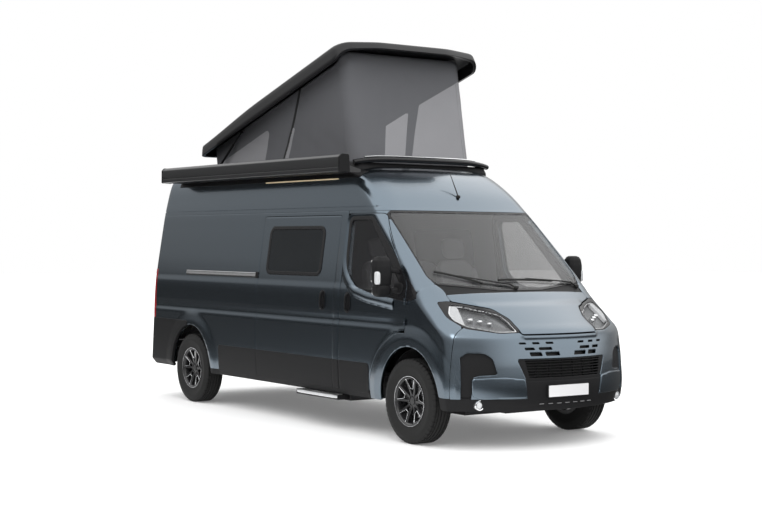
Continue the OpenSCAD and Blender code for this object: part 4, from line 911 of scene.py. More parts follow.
# %% windscreen and its frame
pillars = without(both(slab(0, 0.9385, 9), slab(2, 1.303, 2.043)), grown(wing_top, 0.005),
                  grown(CAB_DOOR, HALF_GAP), SCREEN, COWL, QUARTER, grown(BONNET, 0.006))
panel("screen_frame", pressed, round_nose(0.95, 20, 90), steps(1.29, 2.06, 0.018), pillars, "van", PAINT,
      lining=DARK_LINING, node="cab_frame", slot="paint")
panel("screen", pressed, round_nose(0.02, 16, 60), steps(1.32, 2.06, 0.028), grown(SCREEN, -0.001), "van",
      CLEAR, thick=0.006, lift=-0.004, roll=0.001, node="windscreen", slot="clear_glass")
panel("screen_edge", pressed, round_nose(0.02, 20, 100), steps(1.32, 2.06, 0.010),
      band(SCREEN, -0.014, 0.002), "van", GLOSS, thick=0.002, lift=-0.0022, roll=0.0006)
panel("cowl", pressed, round_nose(0.02, 16, 80), steps(1.24, 1.45, 0.008),
      without(COWL, grown(SCREEN, 0.001), grown(BONNET, 0.007)), "van", BLACK, thick=0.03, lift=-0.006,
      roll=0.003)
for s, hand in SIDES:
    panel("quarter_" + hand, on_side(s), steps(1.55, 2.18, 0.015), steps(1.20, 1.88, 0.015),
          without(grown(QUARTER, -0.0015), grown(CAB_DOOR, HALF_GAP)), "van", GLOSS, thick=0.03, lift=0.0,
          roll=0.002)
print("front pieces ready")

# %% [markdown]
# ## Roof
# The high roof is a stack of outlines of the body, closed by a flat top that runs in to the hatch. The
# same grid, set in by its normals, makes the headlining, so the roof is one closed shell.

# %% high roof
def half_ring(z):
    """Half an outline of the body at height z, from the middle of the nose to the middle of the tail."""
    q = np.concatenate([np.linspace(0, 1, 24), np.linspace(1, 2, 15)[1:]])
    front = nose(q, np.full(len(q), z))
    u = np.linspace(0, -REAR_CORNER*np.pi/2, 8)
    corner = tail(u, np.full(8, z), 1)
    t = np.linspace(0, 1, 70)[1:-1, None]
    middle = corner[-1]*[1, 0, 1]
    return np.concatenate([front, front[-1]*(1 - t) + corner[0]*t, corner,
                           corner[-1] + (middle - corner[-1])*np.linspace(0, 1, 18)[1:, None]])


def full_ring(z):
    """The half outline and its image on the other side, as one ring."""
    half = half_ring(z)
    return np.concatenate([half, half[-2:0:-1]*[1, -1, 1]])


def grid_normals(grid):
    """Unit normals of a grid whose second direction closes on itself."""
    du = np.gradient(grid, axis=0)
    dv = np.roll(grid, -1, 1) - np.roll(grid, 1, 1)
    n = np.cross(dv, du)
    return n/(np.linalg.norm(n, axis=-1, keepdims=True) + 1e-12)


roof_rows = np.concatenate([[2.047, 2.07, 2.078, 2.0805, 2.0855, 2.088, 2.10], np.linspace(2.13, 2.43, 14),
                            2.505 - 0.075*np.linspace(0.9, 0, 12)**2])
rings = np.array([full_ring(z) for z in roof_rows])
groove = np.where(np.isin(np.round(roof_rows, 4), [2.0805, 2.0855]), 0.004, 0.0)
rings = rings - grid_normals(rings)*groove[:, None, None]*ramp((1.42 - rings[..., :1])/0.1)
hatch = np.stack([np.clip(rings[-1][:, 0], -1.75, 0.43), np.clip(rings[-1][:, 1], -0.56, 0.56),
                  rings[-1][:, 2]], -1)
top = rings[-1] + (hatch - rings[-1])*np.linspace(0, 1, 9)[1:, None, None]
skin = np.concatenate([rings, top])
HEADLINING = 0.04
head = skin - grid_normals(skin)*HEADLINING
head[len(rings):] = top - [0, 0, HEADLINING]
roof = np.concatenate([skin, head[::-1]])
quads = grid_faces(len(roof), roof.shape[1], True, True)[:, ::-1].reshape(len(roof), -1, 4)
outer = np.concatenate([quads[:len(skin)], quads[-1:]]).reshape(-1, 4)
inside = quads[len(skin):-1].reshape(-1, 4)
build("roof", roof.reshape(-1, 3), [outer], "van", PAINT, [inside], LINING, "roof_panel", slot="paint")
print("roof:", len(skin), "rings up to", skin[..., 2].max().round(3))

# %% [markdown]
# ## Awning
# The case is an extrusion with a separate lead rail along its lower front and a cap on each end. It stands on
# the roof's edge, with a thin lamp under its front half. A black strip on the body under it stands for its
# foot, and is partly painted shadow: the dark band that the case casts on the body.

# %% awning
AWNING_REAR, AWNING_FRONT = -2.60, 1.04
case = outline([[-1.068, 2.452, 0.004], [-1.067, 2.545, 0.02], [-1.04, 2.572, 0.03], [-0.965, 2.568, 0.02],
                [-0.955, 2.47, 0.01], [-0.82, 2.435, 0.004], [-0.82, 2.405, 0.004], [-1.025, 2.405, 0.01],
                [-1.028, 2.452, 0.002]])
rail = outline([[-1.07, 2.408, 0.012], [-1.07, 2.449, 0.004], [-1.032, 2.449, 0.004], [-1.030, 2.402, 0.008]])
cap = outline([[-1.072, 2.404, 0.014], [-1.071, 2.547, 0.022], [-1.042, 2.5745, 0.03], [-0.96, 2.571, 0.02],
               [-0.95, 2.40, 0.012]])
pieces = [plate(line, 0, AWNING_REAR + 0.02, AWNING_FRONT - 0.02) for line in (case, rail)]
build("awning_case", *together(*pieces), "van", CASE, node="awning", slot="awning_case", sharp=35)
caps = build("awning_caps", *together(plate(cap, 0, AWNING_REAR, AWNING_REAR + 0.024),
                                      plate(cap, 0, AWNING_FRONT - 0.024, AWNING_FRONT)), "van", BLACK)
soften = caps.modifiers.new("soften", "BEVEL")
soften.width, soften.segments, soften.limit_method = 0.006, 3, "ANGLE"
# Black strip under the awning: partly its mounting foot, partly painted shadow of the awning on the body.
panel("awning_foot_and_shadow", on_side(-1), steps(AWNING_REAR, AWNING_FRONT, 0.05), steps(2.34, 2.43, 0.01),
      both(slab(2, 2.362, 2.425), slab(0, -9, 0.98)), "van", BLACK, thick=0.01, lift=0.006)
panel("awning_lamp", on_side(-1), steps(-0.69, 0.66, 0.05), steps(2.33, 2.38, 0.005),
      slab(2, 2.352, 2.3605), "van", GLOW, thick=0.006, lift=0.008, roll=0.001)
print("awning:", round(AWNING_FRONT - AWNING_REAR, 2), "m long")

# %% [markdown]
# ## Pop-up roof
# The shell is drawn shut, as a stack of rounded outlines, and then swung up about its hinge. Under it
# hangs the tent: a loft between the frame on the roof and the shell, drawn in a little between its edges
# as stretched cloth is, with fine creases at the lower corners.

# %% shell
LIFT = np.radians(16.5)
LIFT_X, LIFT_Z = -2.62, 2.53
SHELL_RING = 280


def lifted(p):
    """Swings places about the roof's hinge, nose upwards."""
    x, z = p[..., 0] - LIFT_X, p[..., 2] - LIFT_Z
    return np.stack([LIFT_X + x*np.cos(LIFT) - z*np.sin(LIFT), p[..., 1],
                     LIFT_Z + x*np.sin(LIFT) + z*np.cos(LIFT)], -1)


def spaced(line, n):
    """A closed line drawn again with n points at equal steps."""
    line = np.concatenate([line, line[:1]])
    run = np.concatenate([[0], np.cumsum(np.linalg.norm(np.diff(line, axis=0), axis=1))])
    t = np.linspace(0, run[-1], n, endpoint=False)
    return np.stack([np.interp(t, run, line[:, k]) for k in range(2)], -1)


def shell_top(x):
    """The height of the shell's top, lower towards its rear edge."""
    return 2.645 + 0.045*ramp((x + 2.06)/1.3)


def shell_ring(inset, share):
    """An outline of the shell at a share of its height. The skirt is lower at the rear, and the front lip
    is cut up."""
    a, b, h = -2.065 + inset, 0.945 - inset, 0.86 - inset
    line = spaced(outline([[a, -h, 0.07], [0.86 - 0.5*inset, -h, 0.15], [b, -0.42, 0.9], [b, 0.42, 0.9],
                           [0.86 - 0.5*inset, h, 0.15], [a, h, 0.07]]), SHELL_RING)
    low = 2.5255 + 0.085*ramp((line[:, 0] - 0.72)/0.2)
    return np.column_stack([line, low + (shell_top(line[:, 0]) - low)*share])


# Rings of the shell, outside and inside: inset and share of the height.
over = [(0.008, 0), (0.002, 0.012), (0, 0.035), (0.003, 0.25), (0.009, 0.6), (0.014, 0.8), (0.019, 0.88),
        (0.028, 0.94), (0.045, 0.975), (0.075, 0.993), (0.12, 1.0)]
under = [(0.14, 0.8), (0.068, 0.77), (0.042, 0.68), (0.032, 0.5), (0.029, 0.25), (0.028, 0.01)]
outside = np.array([shell_ring(*r) for r in over])
lining = np.array([shell_ring(*r) for r in under])
spine = np.clip(outside[-1][:, 0], -1.4, 0.25)
inward = np.column_stack([spine, np.zeros(SHELL_RING), shell_top(spine) + 0.006])
crown = outside[-1] + (inward - outside[-1])*np.linspace(0, 1, 10)[1:, None, None]
ceiling = crown[::-1] - [0, 0, 0.03]
rows = lifted(np.concatenate([outside, crown, ceiling, lining]))
quads = grid_faces(len(rows), SHELL_RING, True, True)
ARM = outline([[-2.64, 2.515, 0.015], [-2.64, 2.545, 0.015], [-2.0, 2.55, 0.006], [-2.0, 2.52, 0.006]])
arms = [lifted(np.array(c)) for c in (plate(ARM, 1, 0.43, 0.452)[0], plate(ARM, 1, -0.452, -0.43)[0])]
build("shell", *together((rows.reshape(-1, 3), [quads]), *[(a, plate(ARM, 1, 0, 1)[1]) for a in arms]),
      "roof_shell", SHELL, node="roof_shell", slot="shell_gloss")
print("shell's highest place:", rows[..., 2].max().round(3))

# %% [markdown]
# Cloth could be draped by a simulation. Stretched cloth stays close to the straight surface between its
# two edges, so a ruled surface with a little draw and fine waves is steadier and lighter.

# %% tent
RING, TENT_ROWS = 320, 40


def tent_ring(front, z, rise=0.0):
    """An edge of the tent in plan: a rounded oblong at height z, with its front part raised."""
    line = spaced(outline([[-1.96, -0.72, 0.05], [front, -0.72, 0.12], [front, 0.72, 0.12],
                           [-1.96, 0.72, 0.05]]), RING)
    return np.column_stack([line, z + rise*ramp((line[:, 0] - 0.55)/0.18)])


TENT_LOW, TENT_TOP = tent_ring(0.76, 2.511), lifted(tent_ring(0.735, 2.582, 0.06))


def along(ring, u):
    """A place on a closed ring of points, u once round from 0 to 1."""
    k = np.arange(RING + 1)
    return np.stack([np.interp((u % 1)*RING, k, np.append(ring[:, c], ring[0, c])) for c in range(3)], -1)


def tent(u, v):
    """The cloth: straight from ring to ring, drawn in at half height, with creases that fan out of the
    lower corners."""
    p = along(TENT_LOW, u)*(1 - v)[..., None] + along(TENT_TOP, u)*v[..., None]
    inward = np.array([-0.6, 0, 0]) - p*[1, 1, 0]
    flat = np.where(np.abs(p[..., 1]) > 0.70, 0.0, 1.0)
    side = np.sign(p[..., 1])*(1 - flat)
    away = np.stack([-np.sign(inward[..., 0])*flat, side, 0*v], -1)
    tall = along(TENT_TOP, u)[..., 2] - along(TENT_LOW, u)[..., 2]
    bay = np.where(flat > 0, 1 - (p[..., 1]/0.74)**2, np.clip(1 - ((p[..., 0] + 0.62)/1.36)**2, 0, 1))
    draw = -0.022*np.sin(np.pi*v)*bay*tall
    fan = np.sin(38*u*np.pi + 5.5*v + 2.2*np.sin(9*v + 14*u)) + 0.6*np.sin(91*u*np.pi - 9*v)
    crease = 0.0016*fan*np.sin(np.pi*np.clip(v, 0, 1))**0.7*tall
    return p + away*(draw + crease)[..., None]


round_tent, up_tent = np.meshgrid(np.linspace(0, 1, RING, endpoint=False), np.linspace(0, 1, TENT_ROWS),
                                  indexing="ij")
cloth = build("tent_cloth", tent(round_tent, up_tent).reshape(-1, 3), [grid_faces(RING, TENT_ROWS, True)],
              "van", CLOTH, node="tent", sharp=60, slot="tent_cloth")
thick = cloth.modifiers.new("cloth", "SOLIDIFY")
thick.thickness, thick.offset = 0.0016, -1
print("cloth:", RING, "columns by", TENT_ROWS, "rows")

# %% [markdown]
# Seams, bindings and paler panels are strips cut from the tent's own surface and lifted by a millimetre, so
# they follow each crease. The paler panels are painted light: on the front, cloth lit through from behind;
# low at the rear of each side, cloth lit below the shade of the shell.

# %% strips on the tent
SEAM = side_view([[-0.60, 2.50], [-0.205, 3.36], [-0.165, 3.36], [-0.56, 2.50]])
LIGHT_SEAM = side_view([[-0.55, 2.53], [-0.375, 2.92, 0.01], [-0.345, 2.90, 0.01], [-0.47, 2.53]])
# The patch low at the rear of each side is painted light: paler cloth where light falls on it below the
# shell's shade.
LIT_PATCH = side_view([[-1.90, 2.53, 0.02], [-1.90, 2.60, 0.02], [-0.83, 2.93, 0.04], [-0.93, 2.53, 0.03]])
# The two panels on the front are painted light: paler cloth where light shines through it from behind.
BACKLIT_PANELS = [across_view([[-0.36, 2.535, 0.01], [-0.29, 2.885, 0.012], [0.0, 3.04, 0.012],
                        [-0.12, 2.535, 0.01]]),
           across_view([[-0.04, 2.535, 0.01], [0.14, 3.115, 0.012], [0.69, 3.40, 0.02],
                        [0.69, 2.535, 0.02]])]
above_roof = slab(2, 2.5, 9)
tent_front = slab(0, 0.35, 9)
tent_sides = {-1: slab(1, -9, -0.66), 1: slab(1, 0.66, 9)}


def strip(name, zone, finish):
    """A strip cut from the tent's own surface, for the seams and bindings and for the paler panels of painted
    light.
    """
    return panel(name, tent, np.linspace(0, 0.9999, RING), np.linspace(0.005, 0.995, 70),
                 both(zone, above_roof), "van", finish, thick=0.0024, lift=0.0012, roll=0.0004)


strips = []
# The third kind of strip is the paler patch at the rear of each side, painted light.
for kind, zone, finish in (("seam", SEAM, RUBBER), ("binding", LIGHT_SEAM, PALE_AND_LIT_CLOTH),
                           ("lit_patch", LIT_PATCH, PALE_AND_LIT_CLOTH)):
    strips += [strip(f"tent_{kind}_{hand}", both(zone, tent_sides[s]), finish) for s, hand in SIDES]
for (s, hand), zone in zip(SIDES, BACKLIT_PANELS):
    strips.append(strip("tent_backlit_panel_" + hand, both(zone, tent_front), PALE_AND_LIT_CLOTH))
for piece in [cloth, *strips]:
    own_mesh(piece)
bow = np.linspace(-1, 1, 41)
front_rail = np.column_stack([0.935 - 0.06*bow**4, 0.80*bow, 2.545 - 0.035*np.abs(bow)**5])
build("frame_fairing", *sweep(front_rail, (0.034, 0.026), 16), "van", GLOSS)
build("frame_trim", *sweep(front_rail[3:-4] + [-0.030, 0, 0.034], (0.020, 0.008), 10), "van", ALU)
print("roof pieces ready")

# %% [markdown]
# ## Lamps, grille and the small things at the front
# A headlamp is four skins of the nose: a black surround, a textured bowl set well back, a bright block
# at the outer end and a clear cover. The grille is bars swept along the nose's arc.

# %% headlamps
COVER = front_view([[0.452, 1.0, 0.008], [0.448, 1.09, 0.04], [0.476, 1.148, 0.05], [0.72, 1.213, 0.2],
                    [0.832, 1.221, 0.03], [0.887, 1.15, 0.05], [0.882, 1.097, 0.04], [0.816, 1.042, 0.08],
                    [0.60, 0.998, 0.3]])
LED_BLOCK = front_view([[0.775, 1.206, 0.01], [0.838, 1.213, 0.02], [0.878, 1.15, 0.03],
                        [0.874, 1.10, 0.02], [0.822, 1.052, 0.01]])
lamp_run, lamp_rise = round_nose(0.1, 34, 130), steps(0.97, 1.28, 0.0085)
ahead = slab(0, 2.28, 9)
panel("lamp_surround", pressed, lamp_run, lamp_rise, both(without(grown(LAMP, -0.001), COVER), ahead),
      "van", GLOSS, thick=0.05, lift=-0.001, node="headlamps", slot="lamp_lens")
panel("lamp_bowl", pressed, lamp_run, lamp_rise, both(grown(COVER, 0.004), ahead), "van", REFLECTOR,
      thick=0.004, lift=-0.045)
panel("lamp_block", pressed, lamp_run, lamp_rise, both(LED_BLOCK, ahead), "van", LIGHT_BAR, thick=0.03,
      lift=-0.010, roll=0.004)
panel("lamp_cover", pressed, lamp_run, lamp_rise, both(grown(COVER, -0.0008), ahead), "van", LENS,
      thick=0.003, lift=-0.0015, roll=0.001)
panel("lamp_rim", pressed, lamp_run, lamp_rise, both(band(COVER, -0.009, -0.002), ahead), "van", MIRROR,
      thick=0.004, lift=-0.008, roll=0.001)


def on_nose(y, z, out=0.0):
    """Places on the arc of the nose at y and z, pushed out along the normal."""
    y, z = np.broadcast_arrays(np.asarray(y, float), np.asarray(z, float))
    w, front, bow, corner, rear, turn, cx = form(z)
    q = np.arcsin(y/bow)/turn
    return pressed(q, z) + normals(pressed, q, z)*np.broadcast_to(out, z.shape)[..., None]


def at(piece, place):
    """A piece moved to a place."""
    return piece[0] + np.asarray(place), piece[1]


EYES = ((0.735, 1.118, 0.026), (0.665, 1.105, 0.024), (0.60, 1.088, 0.022))
eyes = [at(pillow([-0.03, -r, -0.8*r], [0.03, r, 0.8*r], 2.6, 14),
           on_nose(np.array([s*y]), np.array([z]), -0.034)[0]) for s in (-1, 1) for y, z, r in EYES]
build("lamp_eyes", *together(*eyes), "van", MIRROR)
print("headlamps with", len(eyes), "eyes")

# %% [markdown]
# The grille is a frame with bars swept along the nose's arc and uprights between them, and a dark backing
# closes it. Below it hangs the plate in its holder.

# %% grille and lower panel
MESH = front_view([[-0.3, 0.764], [0.430, 0.764, 0.008], [0.392, 0.612, 0.008], [-0.3, 0.612]])
front_run = round_nose(0.02, 16, 130)
panel("grille_frame", pressed, front_run, steps(0.57, 0.79, 0.008), without(grown(GRILLE, -0.001), MESH),
      "van", BLACK, thick=0.04, lift=-0.004, roll=0.004, node="grille_slats", slot="black_plastic")
panel("grille_backing", pressed, front_run, steps(0.57, 0.79, 0.03), grown(MESH, 0.01), "van", RUBBER,
      thick=0.004, lift=-0.06)
slats = []
for z in np.linspace(0.630, 0.748, 6):
    reach = 0.393 + (z - 0.612)*0.24
    slats.append(sweep(on_nose(np.linspace(-reach, reach, 41), z, -0.016), (0.014, 0.0052), 10))
for y in np.linspace(-0.32, 0.32, 6):
    slats.append(sweep(on_nose(y, np.linspace(0.614, 0.762, 9), -0.018), (0.0035, 0.012), 8))
build("grille_bars", *together(*slats), "van", BLACK)
plate_place = on_nose(0.0, 0.497)
board = outline([[-0.225, 0.450, 0.006], [-0.225, 0.547, 0.006], [0.225, 0.547, 0.006],
                 [0.225, 0.450, 0.006]])
build("number_plate", *plate(board, 0, plate_place[0] - 0.002, plate_place[0] + 0.006), "van", WHITE)
holder = outline([[-0.232, 0.444, 0.008], [-0.232, 0.553, 0.008], [0.232, 0.553, 0.008],
                  [0.232, 0.444, 0.008]])
build("plate_holder", *plate(holder, 0, plate_place[0] - 0.045, plate_place[0] + 0.001), "van", BLACK)
dashes = [at(pillow([-0.01, -0.024, -0.003], [0.004, 0.024, 0.003], 6, 10), on_nose(y, 0.392, 0.0))
          for y in np.linspace(-0.27, 0.27, 7)]
build("lip_marks", *together(*dashes), "van", STEEL)
print("grille bars:", len(slats))

# %% [markdown]
# Fog lamps are turned: a chrome ring, a bowl and a small dome. They look straight ahead.

# %% fog lamps
ring = [[0.0, -0.02], [0.030, -0.02], [0.036, 0.004], [0.043, 0.006], [0.045, 0.0], [0.044, -0.03],
        [0.0, -0.03]]
dome = [[0.0, 0.012], [0.012, 0.010], [0.022, 0.005], [0.031, -0.004], [0.031, -0.012], [0.0, -0.012]]
for s, hand in SIDES:
    spot = np.array([2.764, s*0.786, 0.391])
    build("fog_ring_" + hand, *lathe(ring, 40, 0, spot, False), "van", MIRROR)
    build("fog_dome_" + hand, *lathe(dome, 40, 0, spot, False), "van", LIGHT_BAR)
print("fog lamps", round(2*spot[1], 3), "m apart")

# %% [markdown]
# A wiper is an arm that tapers from its hub and a blade that follows the glass. Both are swept along
# paths laid on the nose and lifted off it.

# %% wipers and antenna
# Arms: places across, heights, and how far they stand off the glass. Blades: both ends.
arms = [(([-0.056, -0.10, -0.26, -0.45, -0.585], [1.352, 1.380, 1.400, 1.428, 1.452]),
         [0.006, 0.012, 0.015, 0.018, 0.018]),
        (([0.757, 0.70, 0.55, 0.30, 0.12], [1.352, 1.384, 1.398, 1.412, 1.424]),
         [0.006, 0.012, 0.015, 0.018, 0.018])]
blades = [([-0.785, -0.385], [1.492, 1.392]), ([-0.20, 0.44], [1.418, 1.402])]
bars = []
for (line, out), (ys, zs) in zip(arms, blades):
    t, fine = np.linspace(0, 1, len(line[0])), np.linspace(0, 1, 25)
    path = on_nose(np.interp(fine, t, line[0]), np.interp(fine, t, line[1]), np.interp(fine, t, out))
    bars.append(sweep(path, np.column_stack([np.linspace(0.013, 0.006, 25), np.linspace(0.009, 0.005, 25)]),
                      10))
    path = on_nose(np.linspace(*ys, 25), np.linspace(*zs, 25) + 0.006*np.sin(np.pi*fine), 0.012)
    bars.append(sweep(path, (0.007, 0.010), 8))
    hub = on_nose(line[0][0], line[1][0], 0.004)
    bars.append(at(pillow([-0.02, -0.02, -0.014], [0.02, 0.02, 0.02], 3, 14), hub))
build("wipers", *together(*bars), "van", RUBBER)
foot = on_nose(0.0, 2.18, 0.0)
mast = np.linspace(0, 1, 12)[:, None]*np.array([-0.135, 0, 0.235]) + foot + [0, 0, 0.012]
build("antenna", *together(sweep(mast, np.linspace(0.006, 0.0028, 12)[:, None]*[1, 1], 10),
                           at(pillow([-0.03, -0.014, -0.012], [0.03, 0.014, 0.022], 2.5, 14), foot)),
      "van", RUBBER)
print("front trim ready")

# %% [markdown]
# ## Wheels
# A tyre is turned from its section, with the tread's ribs drawn in the section and its cross cuts made by
# pulling narrow slices of the shoulders inwards. The rim has five pairs of spokes, each pair with a thin
# turned edge round the space between them, and a turned lip.

# %% tyre
TYRE_R, BEAD_R, GROOVE, BLOCKS = 0.372, 0.202, 0.007, 48


def tyre_section():
    """Half section, then its mirror image: bead, side wall with two fine ribs, shoulder, and tread with
    four grooves."""
    wall_line = outline([[0.0905, BEAD_R, 0.008], [0.0905, 0.226, 0.008], [0.1125, 0.310, 0.045],
                         [0.0885, TYRE_R, 0.026], [0.0, TYRE_R], [0.0, BEAD_R]])
    out, up = wall_line.T
    wall_line = wall_line[(up > 0.2015) & (out > 0.01) & ~((up < 0.21) & (out < 0.08))]
    run = np.concatenate([[0], np.cumsum(np.linalg.norm(np.diff(wall_line, axis=0), axis=1))])
    t = np.linspace(0, run[-1], 24)
    side = np.stack([np.interp(t, run, wall_line[:, k]) for k in range(2)], -1)
    for r in (0.236, 0.262, 0.318):
        side[:, 0] += 0.0012*np.exp(-((side[:, 1] - r)/0.004)**2)
    grooves = []
    for c in (0.050, 0.018):
        grooves += [[c + 0.006, TYRE_R], [c + 0.0045, TYRE_R - GROOVE], [c - 0.0045, TYRE_R - GROOVE],
                    [c - 0.006, TYRE_R]]
    half = np.concatenate([side, [[0.080, TYRE_R], [0.066, TYRE_R]], grooves])
    return np.concatenate([half, half[::-1]*[-1, 1]])


def tyre():
    """The section turned in short steps, with the shoulders cut in at the last part of every block."""
    p = tyre_section()
    share = np.array([0.0, 0.40, 0.80, 0.84, 0.96])
    a = (np.arange(BLOCKS)[:, None] + share).ravel()*2*np.pi/BLOCKS
    cutting = np.tile(np.array([0, 0, 0, 1, 1]), BLOCKS)
    shift = np.where(p[:, 0] < 0, np.pi/BLOCKS, 0.0)*np.clip(np.abs(p[:, 0])/0.03, 0, 1)
    shoulder = ((np.abs(p[:, 0]) > 0.057) & (p[:, 1] > 0.352)).astype(float)
    r = p[:, 1] - 0.006*cutting[:, None]*shoulder
    angle = a[:, None] + shift
    co = np.stack([r*np.cos(angle), np.broadcast_to(p[:, 0], r.shape), r*np.sin(angle)], -1)
    return co.reshape(-1, 3), [grid_faces(len(a), len(p), True, True)]


print("tyre section:", len(tyre_section()), "points")


# %% [markdown]
# A cast rim is turned on its outer faces only. The barrel, the hub and the lip are lathed, and a spoke is
# a bar with a chamfered face that rises from the hub to the lip.

# %% rim
def face_height(r):
    """How far out the spokes' face lies: low at the hub and rising to the rim."""
    return 0.060 + 0.026*np.clip((r - 0.05)/0.14, 0, 1)**1.6


def spoke(angle):
    """A bar from hub to rim with a chamfered face, drawn over its length and across its width."""
    r = np.linspace(0.045, 0.197, 22)
    w = 0.0115 + 0.003*np.abs((r - 0.11)/0.08)**2
    d = np.array([[-1.15, -0.034], [-1.0, -0.006], [-0.72, 0.0], [0.72, 0.0], [1.0, -0.006], [1.15, -0.034]])
    across = w[:, None]*d[:, 0]
    out = face_height(r)[:, None] + d[:, 1]
    c, s = np.cos(angle), np.sin(angle)
    co = np.stack([r[:, None]*c - across*s, out, r[:, None]*s + across*c], -1)
    end = np.arange(len(d))[None]
    ends = [end, (len(r) - 1)*len(d) + end[:, ::-1]]
    return co.reshape(-1, 3), [grid_faces(len(r), len(d), False, True)[:, ::-1]] + ends


def edge_line(middle):
    """A line down the inner edge of one spoke of a pair, round beside the hub and back up the other."""
    inner = 0.110
    r = np.linspace(inner, 0.204, 16)
    half = (0.019 + 0.45*(r - inner))/r
    one, other = middle + half, middle - half
    arc = np.linspace(other[0], one[0], 10)[1:-1]
    angle = np.concatenate([other[::-1], arc, one])
    rr = np.concatenate([r[::-1], np.full(len(arc), inner), r])
    return np.stack([rr*np.cos(angle), face_height(rr) + 0.0005, rr*np.sin(angle)], -1)


print("spokes' face at the rim:", face_height(0.197).round(3))

# %% rim's pieces
middles = np.radians(90 + 72*np.arange(5))
SPREAD, HALF_TRACK, BOLT_CIRCLE = np.radians(19), 0.905, 0.052
barrel = outline([[-0.0965, 0.184, 0.003], [-0.0965, 0.222, 0.003], [-0.0905, 0.222, 0.002],
                  [-0.0905, 0.2016, 0.002], [0.0905, 0.2016, 0.002], [0.0905, 0.2205, 0.002],
                  [0.0955, 0.222, 0.002], [0.0965, 0.205, 0.004], [0.086, 0.193, 0.006], [0.06, 0.184]])
barrel = barrel[:, ::-1]
hub = [[0.0, 0.064], [0.030, 0.064], [0.0335, 0.0615], [0.034, 0.056], [0.060, 0.054], [0.068, 0.046],
       [0.070, 0.008], [0.0, 0.008]]
bolt = lathe([[0, 0.060], [0.007, 0.060], [0.0085, 0.057], [0.0085, 0.045], [0, 0.045]], 6, 1, closed=False)
bolts = [at(bolt, (BOLT_CIRCLE*np.cos(b), 0, BOLT_CIRCLE*np.sin(b)))
         for b in np.radians(18 + 72*np.arange(5))]
spokes = [spoke(m + d) for m in middles for d in (-SPREAD, SPREAD)]
rim_piece = together(lathe(barrel, 80, 1), lathe(hub, 60, 1, closed=False), *spokes, *bolts)
lip = lathe([[0.2160, 0.0964], [0.2180, 0.0970], [0.2190, 0.0964], [0.2175, 0.0955]], 120, 1)
turned = together(lip, *[sweep(edge_line(m), (0.0028, 0.0018), 6) for m in middles])


print("rim:", len(spokes), "spokes and", len(bolts), "bolts")


# %% four wheels
def wheel_at(piece, x, s):
    """Moves a wheel's piece to its place, turned round for the right side."""
    co, faces = piece
    co = co*[1, s, 1] + [x, s*HALF_TRACK, AXLE_Z]
    return co, faces if s > 0 else [f[:, ::-1] for f in faces]


for end, x in (("front", FRONT_AXLE), ("rear", REAR_AXLE)):
    for hand, s in (("left", 1), ("right", -1)):
        body = f"wheel_{end}_{hand}"
        build(f"tyre_{end}_{hand}_tread", *wheel_at(tyre(), x, s), body, TYRE, node=f"tyre_{end}_{hand}",
              slot="tyre", sharp=35)
        build(f"rim_{end}_{hand}_black", *wheel_at(rim_piece, x, s), body, RIM, node=f"rim_{end}_{hand}",
              slot="rim_black", sharp=30)
        build(f"rim_{end}_{hand}_turned", *wheel_at(turned, x, s), body, TURNED)
print("wheels ready")

# %% [markdown]
# ## Guards, rear bumper, mirrors and handles
# Plastic guards clip onto the doors and the sill, one length to each panel, so they part at the shut
# lines. The rear bumper has its own plan: it stands out behind the doors and runs round to the arches.

# %% guards along the sides
GUARD = side_view([[-1.385, 0.39, 0.02], [-1.38, 0.657, 0.02], [1.425, 0.657, 0.03], [1.42, 0.39, 0.02]])


def guard(name, s, low, high, body, node=None):
    """One length of guard on one side, between two shut lines."""
    panel(name, on_side(s), steps(low - 0.02, high + 0.02, 0.02), steps(0.38, 0.68, 0.012),
          both(GUARD, slab(0, low, high)), body, BLACK, thick=0.008, lift=0.0066, roll=0.005, node=node,
          slot="black_plastic")


guard("guard_rear_right", -1, -1.42, -0.5945, "van", "side_cladding")
guard("guard_slide", -1, -0.5855, 0.8205, "van")
guard("guard_pillar", -1, 0.8295, 0.9275, "van")
guard("guard_rear_left", 1, -1.42, 0.9275, "van")
for s, hand in SIDES:
    guard("guard_door_" + hand, s, 0.9425, 1.46, "cab_door_" + hand)

# %% [markdown]
# The rear bumper is cut from a surface like the tail's, a little larger, with a seam at about two thirds
# of its height.

# %% rear bumper
REAR_ROWS = np.array([[0.36, 0.025, 0.04], [0.42, 0.0, 0.0], [0.885, 0.038, 0.0]])
REAR_HALF, REAR_ROUND = 1.012, 0.085


def rear_round(u, z, s):
    """Like the tail, with the bumper's own setback, tuck and corner."""
    rear = np.interp(z, REAR_ROWS[:, 0], REAR_ROWS[:, 1]) - NOSE
    w = REAR_HALF - np.interp(z, REAR_ROWS[:, 0], REAR_ROWS[:, 2])
    a = np.clip(-u/REAR_ROUND, 0, np.pi/2)
    x = rear + REAR_ROUND - REAR_ROUND*np.sin(a) + np.clip(u, 0, None)
    y = w - REAR_ROUND + REAR_ROUND*np.cos(a) - np.clip(-u - REAR_ROUND*np.pi/2, 0, None)
    return np.stack([x, s*(y + relief(x, y, z)), z], -1)


rear_zone = either(slab(2, 0.362, 0.611), both(slab(2, 0.362, 0.884), beyond(0.878)))
rear_zone = without(both(rear_zone, slab(0, -9, -2.06)), ARCHES[1], slab(2, 0.7175, 0.7215))
rear_run = np.concatenate([steps(-1.08, -0.16, 0.03), steps(-0.135, 0, 0.01), steps(0.02, 1.0, 0.02)])
for s, hand in SIDES:
    panel("bumper_rear_" + hand, lambda u, z, s=s: rear_round(u, z, s), rear_run, steps(0.35, 0.9, 0.013),
          rear_zone, "van", BLACK, thick=0.03, lift=-0.001, roll=0.003,
          node="rear_bumper" if s < 0 else None, slot="black_plastic")
print("rear bumper's grid:", len(rear_run), "columns on each side")
